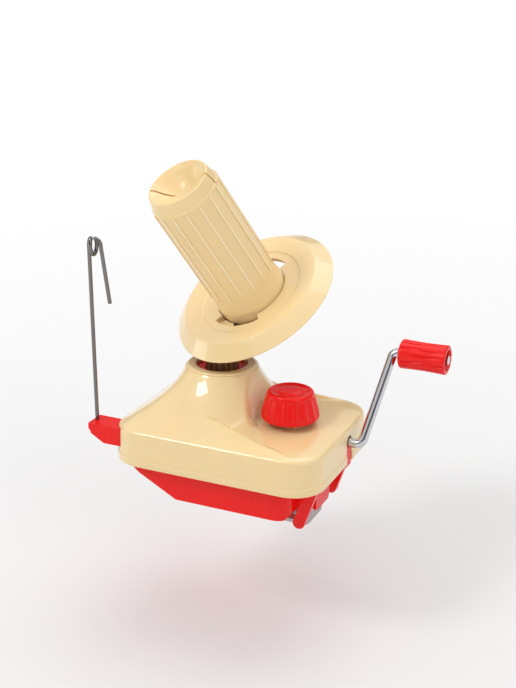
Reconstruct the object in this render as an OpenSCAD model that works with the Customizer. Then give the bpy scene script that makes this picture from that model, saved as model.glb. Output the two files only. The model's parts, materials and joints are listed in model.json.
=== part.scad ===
// Hand-cranked yarn ball winder that clamps to a table's edge.
// Origin: on the tray's flat underside, which rests on the table top, under the housing's middle.
// X runs along the crank shaft with the crank at +X, the clamp legs hang below the table face.

/* [Housing] */
// Length of the top cover along the crank shaft
body_l = 118; // [114:1:124]
// Width of the top cover
body_w = 90; // [88:1:96]
// Radius of the upright corners
corner_r = 17.5; // [15:0.5:20]
// Height of the cover's lower edge above the table face
rim_z = 17.5; // [17:0.5:20]
// Height of the cover's upright wall
wall_h = 19.9; // [19.5:0.1:22]
// Thickness of the cover
cover_t = 2.2; // [1.8:0.1:2.6]
// Height of the neck above the upright wall
neck_rise = 25.1; // [24.5:0.1:28]
// Outer radius of the neck
neck_r = 18.9; // [18.4:0.1:20]
// Radius of the neck's mouth
mouth_r = 14; // [13.6:0.1:14.6]
// How far the tray's long walls stand in from the cover
tray_inset = 6; // [5:0.5:7]
// Thickness of the tray's walls and floor
tray_t = 2.4; // [2:0.1:2.8]

/* [Crank] */
// Height of the crank shaft above the table face
shaft_z = 29; // [28.8:0.1:30]
// Distance of the crank shaft and the flyer's spindle behind the middle
drive_y = 7.3; // [7:0.1:8]
// Diameter of the crank rod
rod_d = 5; // [4.6:0.1:5.2]
// Distance from the shaft to the middle of the grip
crank_r = 50.6; // [46:0.2:56]
// Lean of the crank arm at rest, from upright towards the back
crank_lean = 26.6; // [0:0.2:40]
// How far the arm slants outwards along the shaft
arm_slant = 8.2; // [6:0.2:11]
// Length of the grip
grip_l = 25.5; // [22:0.5:30]
// Radius of the grip over its ribs
grip_r = 7.8; // [7.2:0.1:9]

// Diameter of the flyer's spindle
spindle_d = 6; // [5.6:0.1:6.2]

/* [Flyer and cone] */
// Lean of the cone from upright
tilt = 34.9; // [34:0.1:35.6]
// Distance along the cone from the disc's ridge to where the two axes cross
cross_d = 32.2; // [31.8:0.1:33]
// Height at which the cone's axis crosses the spindle's axis
cross_z = 126.8; // [126.4:0.1:128]
// Radius of the disc's outer edge
disc_r = 46.8; // [45:0.1:47]
// Radius of the disc's raised ridge
ridge_r = 39.2; // [38:0.2:40]
// Radius of the cone's skirt
skirt_r = 19.7; // [19:0.1:20]
// Radius of the cone at its upper rim
cone_top_r = 16.8; // [15:0.1:17.5]
// Length of the cone above the disc's ridge
cone_l = 78.5; // [70:0.5:84]
// Number of ribs along the cone
cone_ribs = 16; // [8:1:24]

/* [Clamp] */
// Distance of the clamp knob from the housing's middle along the shaft
knob_x = 28; // [27:0.1:29]
// Radius of the knob at its top
knob_top_r = 12.4; // [11:0.1:13]
// Radius of the knob at its skirt
knob_r = 15.4; // [14:0.1:16]
// Height of the knob
knob_h = 15; // [12:0.2:16]
// Diameter of the clamp screw
screw_d = 6; // [5:0.1:6.2]
// Gap between the table face and the jaw at rest
jaw_gap = 13; // [8:0.1:13.4]
// Thickness of the steel bracket
bracket_t = 2; // [1.6:0.1:2.4]
// Width of the steel bracket
bracket_w = 14.4; // [13.6:0.2:15.4]
// Depth of the leg tips below the table face
leg_drop = 10; // [6:0.5:12]
// Distance of each leg from the middle
leg_y = 22.7; // [20:0.1:24]

/* [Yarn guide] */
// Distance of the guide arm from the cover's front side
guide_in = 11; // [10.8:0.1:11.5]
// Width of the guide arm
guide_w = 12; // [10:0.5:12]
// Height of the guide arm
guide_h = 10.2; // [9:0.2:10.4]
// Length of the guide arm
guide_l = 62; // [56:1:66]
// How far the guide arm sticks out at rest
guide_out = 13.4; // [13.2:0.2:17]
// Diameter of the guide wire
wire_d = 2.1; // [1.8:0.1:2.4]
// Height of the wire's loop above the arm
wire_h = 100.5; // [85:1:105]

/* [Hidden] */
$fn = 64;

// Clearances and the overrun of every cut
run_gap = 0.05;      // round running fits, on the radius
slide_gap = 0.35;    // sliding and loose fits
over = 1;            // how far a cut runs past what it cuts
seat_gap = 0.3;      // between pieces of different bodies that bear on each other

// Housing heights
wall_top = rim_z + wall_h;
neck_top = wall_top + neck_rise;
half_l = body_l / 2;
half_w = body_w / 2;

// Gears: module and tooth counts of crown wheel, pinion, neck gear and disc gear
gear_m = 1;
wheel_n = 44;
pinion_n = 11;
sun_n = 16;
planet_n = 51;

// Spindle and shaft places
spindle_x = -15.8;
spindle_r = spindle_d / 2;
rod_r = rod_d / 2;
wheel_r = gear_m * wheel_n / 2;
pinion_r = gear_m * pinion_n / 2;
sun_r = gear_m * sun_n / 2;
planet_r = gear_m * planet_n / 2;
addendum = 0.8 * gear_m;
dedendum = 1.1 * gear_m;
tooth_w = 1.3 * gear_m;
tip_w = 0.72 * gear_m;
root_w = 1.9 * gear_m;
face_w = 3.5;
mesh_x = spindle_x + pinion_r;
// The disc gear's place along the cone that lets its lowest side roll on the neck gear
planet_drop = (sun_r + planet_r * cos(tilt)) / sin(tilt) - cross_d;
mesh_z = cross_z - (cross_d + planet_drop) * cos(tilt) - planet_r * sin(tilt);
tooth_rise = 0.5;    // of the neck gear above the rolling face
sun_top = mesh_z + face_w / 2 + tooth_rise;

// Top cover loft: points round the outline, and shares of the way from wall to neck
corner_n = 8;
long_n = 8;
short_n = 6;
tent_shares = [0.04, 0.14, 0.24, 0.34, 0.46, 0.58, 0.7, 0.82, 0.92, 1];
inner_shares = [0.06, 0.3, 0.55, 0.8, 1];
straight_share = 0.68;
band_h = 4.4;        // height of the lower band
band_step = 0.4;     // how far the wall steps in above the band
draft = 0.3;         // lean of the upright wall
shoulder_r = 3.2;
lip_w = 2.4;         // inward lip at the lower edge
lip_h = 1.8;
neck_edge = 1.2;     // rounding of the neck's edge
ledge_w = 2;         // ledge under the neck bearing
ledge_t = 1.6;
mouth_depth = 7.2;
mouth_edge = 0.5;
flare_w = 27;        // width of the tower's foot on the deck side
flare_power = 2.2;
deck_rise = 0.7;
ridge_x0 = -12;      // where the deck starts to part from the tower
ridge_x1 = 6;
ridge_y = 35;        // distance of the deck's ridges from the middle
ridge_blend = 4;
neck_t = 3;

// Notch for the crank
notch_gap = 1.3;      // round the shaft in the cover's notch
notch_w = rod_d + 2 * notch_gap;
tongue_w = notch_w - 2 * slide_gap;

// Tray
tray_left = -21;     // where the flat underside ends at the left
tray_right = 42.5;    // where it ends at the right, against the table's edge
slope_top = -54;     // where the sloped end meets the rim
tray_corner = 8;      // radius of the tray's right corners
foot_in = 2.2;       // bevel along the underside's right end
flange_inset = 3.4;
flange_t = 2;
rib_t = 2.6;
leg_w = 6.6;         // along the shaft
leg_t = 3.6;
leg_lean = 8;        // how far each leg leans in over its height
leg_x = 43.2;        // place of the leg tips
panel_x = 48.2;
panel_t = 1.8;
panel_half = 9.4;
panel_cut = 1.6;
panel_low = 4.6;      // lower edge of the panel below the table face
saddle_in = 6.4;     // distance of the outer shaft saddle from the cover's end
saddle_x = half_l - saddle_in;
saddle_w = 13;
inner_x = 6;         // inner shaft saddle
cap_h = 3.4;
boss_r = 4;
boss_left = -30;     // place of the two left screw bosses
boss_near = 22;      // and their distances before and behind the middle
boss_far = 29;
post_r2 = 3.2;       // posts in the cover that take the screws
post_rise_left = 10.2;
post_rise_right = -1.2;
post_bore = 9;
boss_bore_r = 1.3;
screw_head_r = 2.6;
screw_head_h = 1.6;

// Clamp
knob_y = -0.8;
screw_r = screw_d / 2;
bush_flange_r = 8;
bush_flange_t = 3.2;
bush_r = 5.2;
bush_drop = 5.2;     // how far the bush reaches below the deck's upper face
deck_z = wall_top + deck_rise;
knob_z = deck_z + bush_flange_t + seat_gap;
knob_top = knob_z + knob_h;
knob_flutes = 16;
flute_r = 2.6;
flute_d = 0.6;       // depth of each flute
knob_wall = 2.2;
knob_dome = 1;
knob_hub_r = 5.4;
ring_r = 6;          // raised ring on the knob's top
ring_w = 0.8;
ring_h = 0.5;
dish_h = 0.6;
collar_r = 5;
collar_t = 1.6;
screw_low = 4.2;     // lower end of the clamp screw above the table face
bracket_y = -3.4;
web_x = 45;          // outer face of the bracket's web
jaw_reach = 38;      // length of the lower jaw from the web
arm_top = 25.4;        // upper face of the bracket's upper arm at rest
nut_w = 9.6;
nut_t = 4;
pad_t = 1.2;
pad_l = 18;
bend_r = 5;
slot_w = 3;          // slot stamped through the jaw
slot_l = 9;

// Yarn guide
guide_y = half_w - guide_in;
guide_drop = 2.2;    // of the arm's top below the upright wall's top
guide_top = wall_top - guide_drop;
guide_left = -half_l - guide_out;
wire_r = wire_d / 2;
wire_in = 2.1;       // distance of the wire from the arm's left end
wire_seat = 8.4;     // depth of the wire's hole
chamfer_x = 9;       // chamfer under the head
chamfer_z = 4.6;
head_step = 1.2;
loop_r = 3.5;        // middle radius of the pigtail's bend
leg2_l = 30;
leg2_slant = 4;

// Flyer and cone, measured along the cone's axis from the disc's ridge
edge_drop = 6.8;
disc_t = 2.3;
step_r = 29.6;
step_h = 0.9;
dish_d = 2.2;
skirt_gap = 0.45;    // round the cone's skirt in the disc
hole_r = skirt_r + skirt_gap;
cup_t = 2;
cup_floor = 9.2;
boss_drop = 16;
window_r = 24.8;
window_in = 16.5;
window_a = 70;
window_0 = 22;      // the lower window's middle, from the disc's lowest side
post_r = 3;
boss_wall = 2.8;
skirt_drop = 6;
cone_body_r = 18.7;
rib_h = 0.6;
rib_w = 1;
collar_l = 15;
cone_t = 2;
rib_low = 13;
bowl_d = 9;
slit_w = 1.3;
slit_d = 8;
post_in = 3.6;       // of the cone's post below the disc gear
post_low = planet_drop + post_in;
hub_r = 6.4;
hub_gap = 1.7;       // between the neck gear and the flyer's socket
hub_low = sun_top + hub_gap;
hub_dip = 1.2;       // of the hub's top inside the window below the disc
socket_l = 6;        // depth of the spindle in the flyer's socket
socket_top = hub_low + socket_l;

// Crank places
crank_bend = 3.6;     // inner line of each bend, at the rod's middle
shoulder_t = 0.6;    // collar on the rod that the grip bears on
swell = 0.7;
arm_a = atan2(crank_r, arm_slant);              // angle of the arm from the shaft
bend_cut = crank_bend * tan(arm_a / 2);         // length that each bend takes from the straights
arm_off = 6.2;       // from the cover's end to where the arm leaves the shaft's line
arm_x0 = half_l + arm_off;
peen = 0.4;          // how far the rod stands out past the grip
grip_x = arm_x0 + arm_slant + bend_cut + shoulder_t + seat_gap;
rod_end = grip_x + grip_l + peen;
back_x = mesh_x + dedendum;     // front face of the crown wheel's web
rod_in = back_x + peen;
bend_lap = 3;        // degrees by which each bend runs into the straights
bend_swell = 0.02;   // how much thicker a rod or wire is in its bends

// Shared functions and shapes

function mix(a, b, k) = a + (b - a) * k;
function clamp01(k) = max(0, min(1, k));
function smooth(k) = clamp01(k) * clamp01(k) * (3 - 2 * clamp01(k));

// Point on the cover's outline, set in by d: arcs at the corners, evenly spaced on the sides
function outline(d) =
    let (hx = half_l - corner_r, hy = half_w - corner_r, r = max(corner_r - d, over))
    [
        for (k = [0 : corner_n]) [hx + r * cos(90 * k / corner_n), hy + r * sin(90 * k / corner_n)],
        for (k = [1 : long_n - 1]) [hx - 2 * hx * k / long_n, hy + r],
        for (k = [0 : corner_n])
            [-hx + r * cos(90 + 90 * k / corner_n), hy + r * sin(90 + 90 * k / corner_n)],
        for (k = [1 : short_n - 1]) [-hx - r, hy - 2 * hy * k / short_n],
        for (k = [0 : corner_n])
            [-hx + r * cos(180 + 90 * k / corner_n), -hy + r * sin(180 + 90 * k / corner_n)],
        for (k = [1 : long_n - 1]) [-hx + 2 * hx * k / long_n, -hy - r],
        for (k = [0 : corner_n])
            [hx + r * cos(270 + 90 * k / corner_n), -hy + r * sin(270 + 90 * k / corner_n)],
        for (k = [1 : short_n - 1]) [hx + r, -hy + 2 * hy * k / short_n]
    ];

// Rounded rectangle as exact arcs and flats, set in by d
module plate(d, h) {
    r = corner_r - d;
    hx = half_l - corner_r;
    hy = half_w - corner_r;
    linear_extrude(h) union() {
        square([2 * (hx + r), 2 * hy], center = true);
        square([2 * hx, 2 * (hy + r)], center = true);
        for (sx = [-1, 1], sy = [-1, 1]) translate([sx * hx, sy * hy]) circle(r);
    }
}

// Height of the tent that rises from the wall to the neck
function tent_z(s) =
    wall_top + neck_rise * (straight_share * s + (1 - straight_share) * s * s * s * s);
// Height of the flat deck and the tower's foot on it
function deck_h(p, s) =
    let (r = norm([p[0] - spindle_x, p[1] - drive_y]))
    wall_top + deck_rise * min(1, s * corner_n) + clear_of_knob(p)
    * (neck_rise - deck_rise) * pow(clamp01(1 - (r - neck_r) / flare_w), flare_power);
// Keeps the tower's foot out from under the knob
function clear_of_knob(p) = smooth((norm(p - [knob_x, knob_y]) - knob_r - knob_clear) / knob_blend);
function deck_x(x) = smooth((x - ridge_x0) / (ridge_x1 - ridge_x0));
function deck_y(y) = smooth((ridge_y - abs(y)) / ridge_blend);
function cover_z(p, s) =
    s >= 1 ? neck_top : mix(tent_z(s), deck_h(p, s), deck_x(p[0]) * deck_y(p[1]));
function inner_z(p, s) = mix(tent_z(s), deck_h(p, s), deck_x(p[0])) - cover_t - edge_extra;
edge_extra = 0.9;
knob_clear = 1.2;
knob_blend = 8;

// A plan point s of the way from the outline to the neck's circle of radius r
function toward(p, r, s) =
    let (c = [spindle_x, drive_y], v = p - c, l = norm(v))
    c + v * mix(1, r / l, s);
function at_z(pts, z) = [for (p = pts) [p[0], p[1], z]];
function tent_ring(s) =
    [for (p = outline(band_step + draft + shoulder_r))
        let (q = toward(p, neck_r, s)) [q[0], q[1], s >= 1 ? neck_top - neck_edge : cover_z(q, s)]];
function inner_ring(s) =
    [for (p = outline(cover_t + shoulder_r + band_step))
        let (q = toward(p, neck_r - neck_t, s))
        [q[0], q[1], min(inner_z(q, s), neck_top - mouth_depth - ledge_t)]];
function circle_ring(r, z) =
    [for (p = outline(0)) let (q = toward(p, r, 1)) [q[0], q[1], z]];

// Closed surface through a list of rings, the last joined back to the first
module ring_solid(rings) {
    n = len(rings[0]);
    m = len(rings);
    pts = [for (ring = rings) for (p = ring) p];
    polyhedron(pts, [
        for (j = [0 : m - 1], i = [0 : n - 1])
            let (a = j * n + i, b = j * n + (i + 1) % n,
                c = ((j + 1) % m) * n + (i + 1) % n, d = ((j + 1) % m) * n + i)
            each [[a, d, b], [b, d, c]]
    ], convexity = 8);
}

// Trapezoid tooth, its tip towards +X, centred on the pitch line
module tooth_2d() {
    polygon([
        [-dedendum - root_in, -root_w / 2], [addendum, -tip_w / 2],
        [addendum, tip_w / 2], [-dedendum - root_in, root_w / 2]
    ]);
}
root_in = 0.3;

// Flat spur gear outline with n trapezoid teeth
function spur(n) =
    let (r = gear_m * n / 2, p = 360 / n, rr = r - dedendum, rt = r + addendum)
    [for (i = [0 : n - 1]) each [
        polar(rr, i * p - deg(root_w, rr) / 2),
        polar(r, i * p - deg(tooth_w, r) / 2),
        polar(rt, i * p - deg(tip_w, rt) / 2),
        polar(rt, i * p + deg(tip_w, rt) / 2),
        polar(r, i * p + deg(tooth_w, r) / 2),
        polar(rr, i * p + deg(root_w, rr) / 2)
    ]];
function polar(r, a) = [r * cos(a), r * sin(a)];
function deg(w, r) = 180 * w / (PI * r);

module ring(r_out, r_in, h) {
    difference() {
        cylinder(r = r_out, h = h);
        translate([0, 0, -over]) cylinder(r = r_in, h = h + 2 * over);
    }
}

// Frame of the leaning disc: origin at the ridge's middle, +Z along the cone, +X down the lean
lean_a = -118;
module tilted() {
    translate([spindle_x, drive_y, cross_z]) rotate([0, tilt, lean_a])
        translate([0, 0, -cross_d]) children();
}
module at_spindle(z) { translate([spindle_x, drive_y, z]) children(); }
module along_shaft(x) { translate([x, drive_y, shaft_z]) rotate([0, 90, 0]) children(); }
module at_knob(z) { translate([knob_x, knob_y, z]) children(); }

// Housing

// Height of the tray's underside at x, where its left end slopes up to the rim
function slope_z(x) = max(0, tray_left - x) * rim_z / (tray_left - slope_top);
boss_spots = [
    [boss_left, boss_far], [boss_left, -boss_near],
    [tray_right - boss_r - tray_t - over, half_w - tray_inset - tray_t - boss_r - over],
    [tray_right - boss_r - tray_t - over, -half_w + tray_inset + tray_t + boss_r + over]
];
// Places its children at the screw bosses; $low is the height of each boss's foot
module bosses() {
    for (p = boss_spots) {
        $low = slope_z(p[0] - boss_r);
        $left = p[0] < 0;
        translate([p[0], p[1], 0]) children();
    }
}

module tray_body(d) {
    intersection() {
        rotate([90, 0, 0]) linear_extrude(2 * half_w, center = true) polygon([
            [tray_left + d / 2, d], [tray_right - d - (d > 0 ? over / 2 : foot_in), d],
            [tray_right - d, d + (d > 0 ? over / 2 : foot_in)],
            [tray_right - d, rim_z + (d > 0 ? over : 0)],
            [slope_top + d * 1.4, rim_z + (d > 0 ? over : 0)]
        ]);
        translate([0, 0, -over]) plate(tray_inset + d, rim_z + 3 * over);
        translate([0, 0, -over]) linear_extrude(rim_z + 3 * over) tray_plan(tray_corner - d, d);
    }
}
// Outline of the tray with its right corners rounded to r, set in by d
module tray_plan(r, d) {
    hy = half_w - tray_inset - tray_corner;
    union() {
        translate([-half_l, -hy - r]) square([half_l + tray_right - tray_corner, 2 * (hy + r)]);
        translate([0, -hy]) square([tray_right - d, 2 * hy]);
        for (s = [-1, 1]) translate([tray_right - tray_corner, s * hy]) circle(r);
    }
}

module leg() {
    // upright fin with a rounded tip that leans in towards the table
    rotate([90, 0, 0]) linear_extrude(leg_t, center = true) union() {
        polygon([
            [leg_x - leg_w / 2, -leg_drop + leg_w / 2], [leg_x + leg_w / 2, -leg_drop + leg_w / 2],
            [leg_x + leg_lean + leg_w / 2, rim_z - flange_t / 2],
            [leg_x + leg_lean - leg_w / 2, rim_z - flange_t / 2]
        ]);
        translate([leg_x, -leg_drop + leg_w / 2]) circle(leg_w / 2);
        // web that joins the fin to the tray's end wall
        polygon([
            [tray_right - tray_t / 2, tray_t], [leg_x, tray_t],
            [leg_x + leg_lean, rim_z - flange_t / 2], [tray_right - tray_t / 2, rim_z - flange_t / 2]
        ]);
    }
}

module saddle(x, w, z0) {
    // rib that the shaft drops into from above
    difference() {
        translate([x - rib_t / 2, drive_y - w / 2, z0]) cube([rib_t, w, shaft_z - z0]);
        along_shaft(x - rib_t / 2 - over) cylinder(r = rod_r + run_gap, h = rib_t + 2 * over);
    }
}

module bottom_tray() {
    color("red") difference() {
        union() {
            difference() {
                union() {
                    tray_body(0);
                    translate([0, 0, rim_z - flange_t]) plate(flange_inset, flange_t);
                }
                tray_body(tray_t);
            }
            // locating lip inside the cover
            difference() {
                translate([0, 0, rim_z - flange_t])
                    plate(cover_t + lip_w + slide_gap + band_step, flange_t + lip_h);
                translate([0, 0, rim_z - flange_t - over])
                    plate(cover_t + lip_w + slide_gap + band_step + tray_t, flange_t + lip_h + 2 * over);
            }
            for (s = [-1, 1]) translate([0, s * leg_y, 0]) leg();
            // panel that covers the bracket between the legs
            translate([panel_x - panel_t, bracket_y, 0]) rotate([90, 0, 90])
                linear_extrude(panel_t) polygon([
                    [-panel_half + panel_cut, -panel_low], [panel_half - panel_cut, -panel_low],
                    [panel_half, panel_cut - panel_low], [panel_half, rim_z - flange_t / 2],
                    [-panel_half, rim_z - flange_t / 2], [-panel_half, panel_cut - panel_low]
                ]);
            for (s = [-1, 1])
                translate([tray_right - tray_t / 2,
                    bracket_y + s * (panel_half - panel_t / 2) - panel_t / 2, tray_t])
                    cube([panel_x - tray_right, panel_t, rim_z - flange_t / 2 - tray_t]);
            saddle(saddle_x, saddle_w, rim_z - flange_t);
            saddle(inner_x, saddle_w, tray_t / 2);
            // tongue that closes the cover's notch under the shaft
            difference() {
                translate([saddle_x, drive_y - tongue_w / 2, rim_z - flange_t])
                    cube([half_l - band_step - draft - saddle_x, tongue_w, shaft_z - rim_z + flange_t]);
                along_shaft(saddle_x - over) cylinder(r = rod_r + slide_gap, h = saddle_in + 2 * over);
            }
            // seat under the spindle's bearing
            intersection() {
                at_spindle(0) cylinder(r = seat_r + over / 2, h = seat_z);
                tray_body(0);
            }
            intersection() {
                bosses() cylinder(r = boss_r, h = rim_z);
                tray_body(0);
            }
            // cradles under the guide arm
            for (x = guide_rib_xs)
                translate([x, -guide_y - guide_w / 2 + rib_t / 2, slope_z(x) + tray_t / 4])
                    cube([rib_t, guide_w - rib_t,
                        guide_top - guide_h - slide_gap - slope_z(x) - tray_t / 4]);
        }
        // slot for the bracket's web and arm
        translate([knob_x - nut_w, bracket_y - bracket_w / 2 - slide_gap, rim_z - flange_t - over])
            cube([web_x + slide_gap - knob_x + nut_w, bracket_w + 2 * slide_gap,
                flange_t + lip_h + 2 * over]);
        translate([tray_right - tray_t - over, bracket_y - bracket_w / 2 - slide_gap, slot_low])
            cube([tray_t + 2 * over, bracket_w + 2 * slide_gap, rim_z]);
        // room round the pinion and the bearing
        at_spindle(seat_z) cylinder(r = seat_r, h = rim_z);
        bosses() translate([0, 0, -over]) cylinder(r = boss_bore_r, h = rim_z + 3 * over);
        bosses() translate([0, 0, -over])
            cylinder(r = screw_head_r + slide_gap, h = $low + over + screw_head_h + seat_gap);
    }
}
guide_rib_xs = [-47, -20];
slot_low = 5;        // lower end of the bracket's slot in the tray's end wall
seat_z = 3.6;        // seat of the spindle's lower bearing
seat_r = pinion_r + addendum + slide_gap;

module top_cover() {
    rings = [
        at_z(outline(0), rim_z),
        at_z(outline(0), rim_z + band_h),
        at_z(outline(band_step), rim_z + band_h + band_step),
        at_z(outline(band_step + draft), wall_top - shoulder_r),
        at_z(outline(band_step + draft + 0.3 * shoulder_r), wall_top - 0.29 * shoulder_r),
        for (s = tent_shares) tent_ring(s),
        circle_ring(neck_r - 0.3 * neck_edge, neck_top - 0.3 * neck_edge),
        circle_ring(neck_r - neck_edge, neck_top),
        circle_ring(mouth_r + mouth_edge, neck_top),
        circle_ring(mouth_r, neck_top - mouth_edge),
        circle_ring(mouth_r, neck_top - mouth_depth),
        circle_ring(mouth_r - ledge_w, neck_top - mouth_depth),
        circle_ring(mouth_r - ledge_w, neck_top - mouth_depth - ledge_t),
        for (k = [len(inner_shares) - 1 : -1 : 0]) inner_ring(inner_shares[k]),
        at_z(outline(cover_t + band_step), wall_top - shoulder_r - cover_t),
        at_z(outline(cover_t + band_step), rim_z + lip_h + slide_gap),
        at_z(outline(cover_t + lip_w), rim_z + lip_h),
        at_z(outline(cover_t + lip_w), rim_z)
    ];
    color("wheat") difference() {
        union() {
            ring_solid(rings);
            // posts for the case screws
            bosses() translate([0, 0, rim_z])
                cylinder(r = post_r2, h = wall_h + ($left ? post_rise_left : post_rise_right));
        }
        bosses() translate([0, 0, rim_z - over]) cylinder(r = boss_bore_r, h = post_bore + over);
        // notch for the crank, open at the lower edge
        along_shaft(half_l - cover_t - corner_r / 2) cylinder(d = notch_w, h = corner_r);
        translate([half_l - cover_t - corner_r / 2, drive_y - notch_w / 2, rim_z - over])
            cube([corner_r, notch_w, shaft_z - rim_z + over]);
        // window for the guide arm and its way inside
        translate([-half_l - over, -guide_y - guide_w / 2 - slide_gap, guide_top - guide_h - slide_gap])
            cube([guide_l - guide_out + over + slide_gap, guide_w + 2 * slide_gap,
                guide_h + 2 * slide_gap]);
        // flat seat and hole for the knob's bush
        at_knob(deck_z) cylinder(r = bush_flange_r + slide_gap, h = neck_rise);
        at_knob(wall_top - bush_drop - over) cylinder(r = bush_r, h = bush_drop + neck_rise);
    }
}

module case_screws() {
    color("dimgray") bosses() translate([0, 0, $low + seat_gap]) union() {
        cylinder(r = screw_head_r, h = screw_head_h);
        cylinder(r = boss_bore_r - run_gap, h = rim_z + post_bore - $low - over);
    }
}

module floor_bearing() {
    color("dimgray") at_spindle(seat_z) difference() {
        cylinder(r = spindle_r + bush_wall, h = bearing_h);
        translate([0, 0, bearing_floor]) cylinder(r = spindle_r + run_gap, h = bearing_h);
    }
}
bush_wall = 2.4;
bearing_h = 1.3;
bearing_floor = 0.5;

neck_floor = neck_top - mouth_depth;
neck_plate_t = 3;
module neck_bearing() {
    color("orangered") at_spindle(neck_floor) union() {
        ring(mouth_r - slide_gap, spindle_r + run_gap, neck_plate_t);
        ring(mouth_r - slide_gap, sun_r + addendum + over / 2, neck_plate_t + cup_rim);
    }
}
cup_rim = 1.6;

sun_z = neck_floor + neck_plate_t;
module sun_gear() {
    color("saddlebrown") at_spindle(sun_z) difference() {
        rotate([0, 0, lean_a + 180]) linear_extrude(sun_top - sun_z) polygon(spur(sun_n));
        translate([0, 0, -over]) cylinder(r = spindle_r + run_gap, h = sun_top);
    }
}

module shaft_cap() {
    // holds the shaft down in the inner saddle
    color("red") difference() {
        translate([inner_x - rib_t / 2, drive_y - saddle_w / 2, shaft_z])
            cube([rib_t, saddle_w, rod_r + cap_h]);
        along_shaft(inner_x - rib_t / 2 - over) cylinder(r = rod_r + run_gap, h = rib_t + 2 * over);
    }
}

module deck_bush() {
    color("wheat") at_knob(deck_z) difference() {
        union() {
            cylinder(r = bush_flange_r, h = bush_flange_t);
            translate([0, 0, -bush_drop]) cylinder(r = bush_r - run_gap, h = bush_drop + over);
        }
        translate([0, 0, -bush_drop - over])
            cylinder(r = screw_r + run_gap, h = bush_drop + bush_flange_t + 2 * over);
    }
}

// Crank

// Rod that bends in one plane: straight, bend by a, straight, bend back, straight
module crank_path() {
    arm_l = norm([crank_r, arm_slant]);
    rotate([0, 90, 0]) translate([0, 0, rod_in]) cylinder(r = rod_r, h = arm_x0 - bend_cut - rod_in);
    translate([arm_x0 - bend_cut, 0, crank_bend]) rotate([90, 0, 0]) bend(-90);
    translate([arm_x0, 0, 0]) rotate([0, 90 - arm_a, 0]) translate([0, 0, bend_cut])
        cylinder(r = rod_r, h = arm_l - 2 * bend_cut);
    translate([arm_x0 + arm_slant + bend_cut, 0, crank_r - crank_bend]) rotate([90, 0, 0]) bend(90);
    translate([arm_x0 + arm_slant + bend_cut, 0, crank_r]) rotate([0, 90, 0])
        cylinder(r = rod_r, h = rod_end - arm_x0 - arm_slant - bend_cut);
}
module bend(a0) {
    rotate([0, 0, a0 - bend_lap]) rotate_extrude(angle = arm_a + 2 * bend_lap, $fn = 96)
        translate([crank_bend, 0]) circle(rod_r + bend_swell);
}
module crank_frame() { translate([0, drive_y, shaft_z]) rotate([-crank_lean, 0, 0]) children(); }
module on_grip(x) { crank_frame() translate([x, 0, crank_r]) rotate([0, 90, 0]) children(); }

module crank_rod() {
    color("silver") crank_frame() union() {
        crank_path();
        // shoulder that the grip bears on
        translate([grip_x - seat_gap - shoulder_t, 0, crank_r]) rotate([0, 90, 0])
            cylinder(r = rod_r + swell, h = shoulder_t);
    }
}

module drive_wheel() {
    color("white") translate([0, drive_y, shaft_z]) rotate([0, 90, 0]) difference() {
        union() {
            translate([0, 0, back_x]) cylinder(r = wheel_r + face_w / 2 + wheel_rim, h = wheel_t, $fn = 96);
            translate([0, 0, back_x]) cylinder(r = wheel_hub_r, h = wheel_hub_l);
            // crown teeth, tips towards the spindle
            for (i = [0 : wheel_n - 1]) rotate([0, 0, (i + 0.5) * 360 / wheel_n])
                translate([wheel_r - face_w / 2, 0, mesh_x]) rotate([0, 90, 0])
                    linear_extrude(face_w) tooth_2d();
        }
        translate([0, 0, back_x - over]) cylinder(r = rod_r, h = wheel_hub_l + 2 * over);
        for (i = [0 : wheel_holes - 1]) rotate([0, 0, (i + 0.5) * 360 / wheel_holes])
            translate([wheel_hole_at, 0, back_x - over]) cylinder(r = wheel_hole_r, h = wheel_t + 2 * over);
    }
}
wheel_t = 2.4;
wheel_rim = 0.7;
wheel_hub_r = 5.5;
wheel_hub_l = 9;
wheel_holes = 6;
wheel_hole_r = 3.6;
wheel_hole_at = 12.4;

module shaft_clip() {
    color("silver") along_shaft(inner_x + rib_t / 2 + seat_gap) ring(rod_r + clip_w, rod_r, clip_t);
}
clip_w = 2;
clip_t = 0.8;

module crank_grip() {
    color("red") on_grip(grip_x) difference() {
        union() {
            cylinder(r = grip_boss_r, h = grip_boss_l + over);
            translate([0, 0, grip_boss_l]) cylinder(r = grip_r - lobe_h, h = grip_l - grip_boss_l);
            for (i = [0 : lobes - 1]) rotate([0, 0, i * 360 / lobes])
                translate([grip_r - lobe_r, 0, grip_boss_l + lobe_in])
                    cylinder(r = lobe_r, h = grip_l - grip_boss_l - 2 * lobe_in, $fn = 24);
        }
        translate([0, 0, -over]) cylinder(r = rod_r + run_gap, h = grip_l);
        translate([0, 0, grip_l - socket_d]) cylinder(r = socket_r, h = socket_d + over);
    }
}
lobes = 12;
lobe_r = 1.5;
lobe_h = 1;
lobe_in = 0.6;
grip_boss_r = 5;     // boss at the grip's inner end
grip_boss_l = 1.4;
socket_r = 5;
socket_d = 5;

module push_nut() {
    color("silver") on_grip(grip_x + grip_l - socket_d + seat_gap) ring(socket_r - over, rod_r, clip_t);
}

// Rotor

module spindle() {
    z0 = seat_z + bearing_floor + seat_gap / 3;
    color("silver") at_spindle(z0) cylinder(r = spindle_r, h = socket_top - z0);
}

module pinion() {
    z0 = shaft_z - wheel_r - face_w / 2;
    color("white") at_spindle(z0) difference() {
        union() {
            linear_extrude(face_w) polygon(spur(pinion_n));
            translate([0, 0, face_w]) cylinder(r = pinion_r - dedendum, h = pinion_hub);
        }
        translate([0, 0, -over]) cylinder(r = spindle_r, h = face_w + pinion_hub + 2 * over);
    }
}
pinion_hub = 4;

module spindle_clip() {
    color("silver") at_spindle(neck_floor - seat_gap - clip_t)
        ring(spindle_r + clip_grip, spindle_r, clip_t);
}
clip_grip = 1.2;

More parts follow.
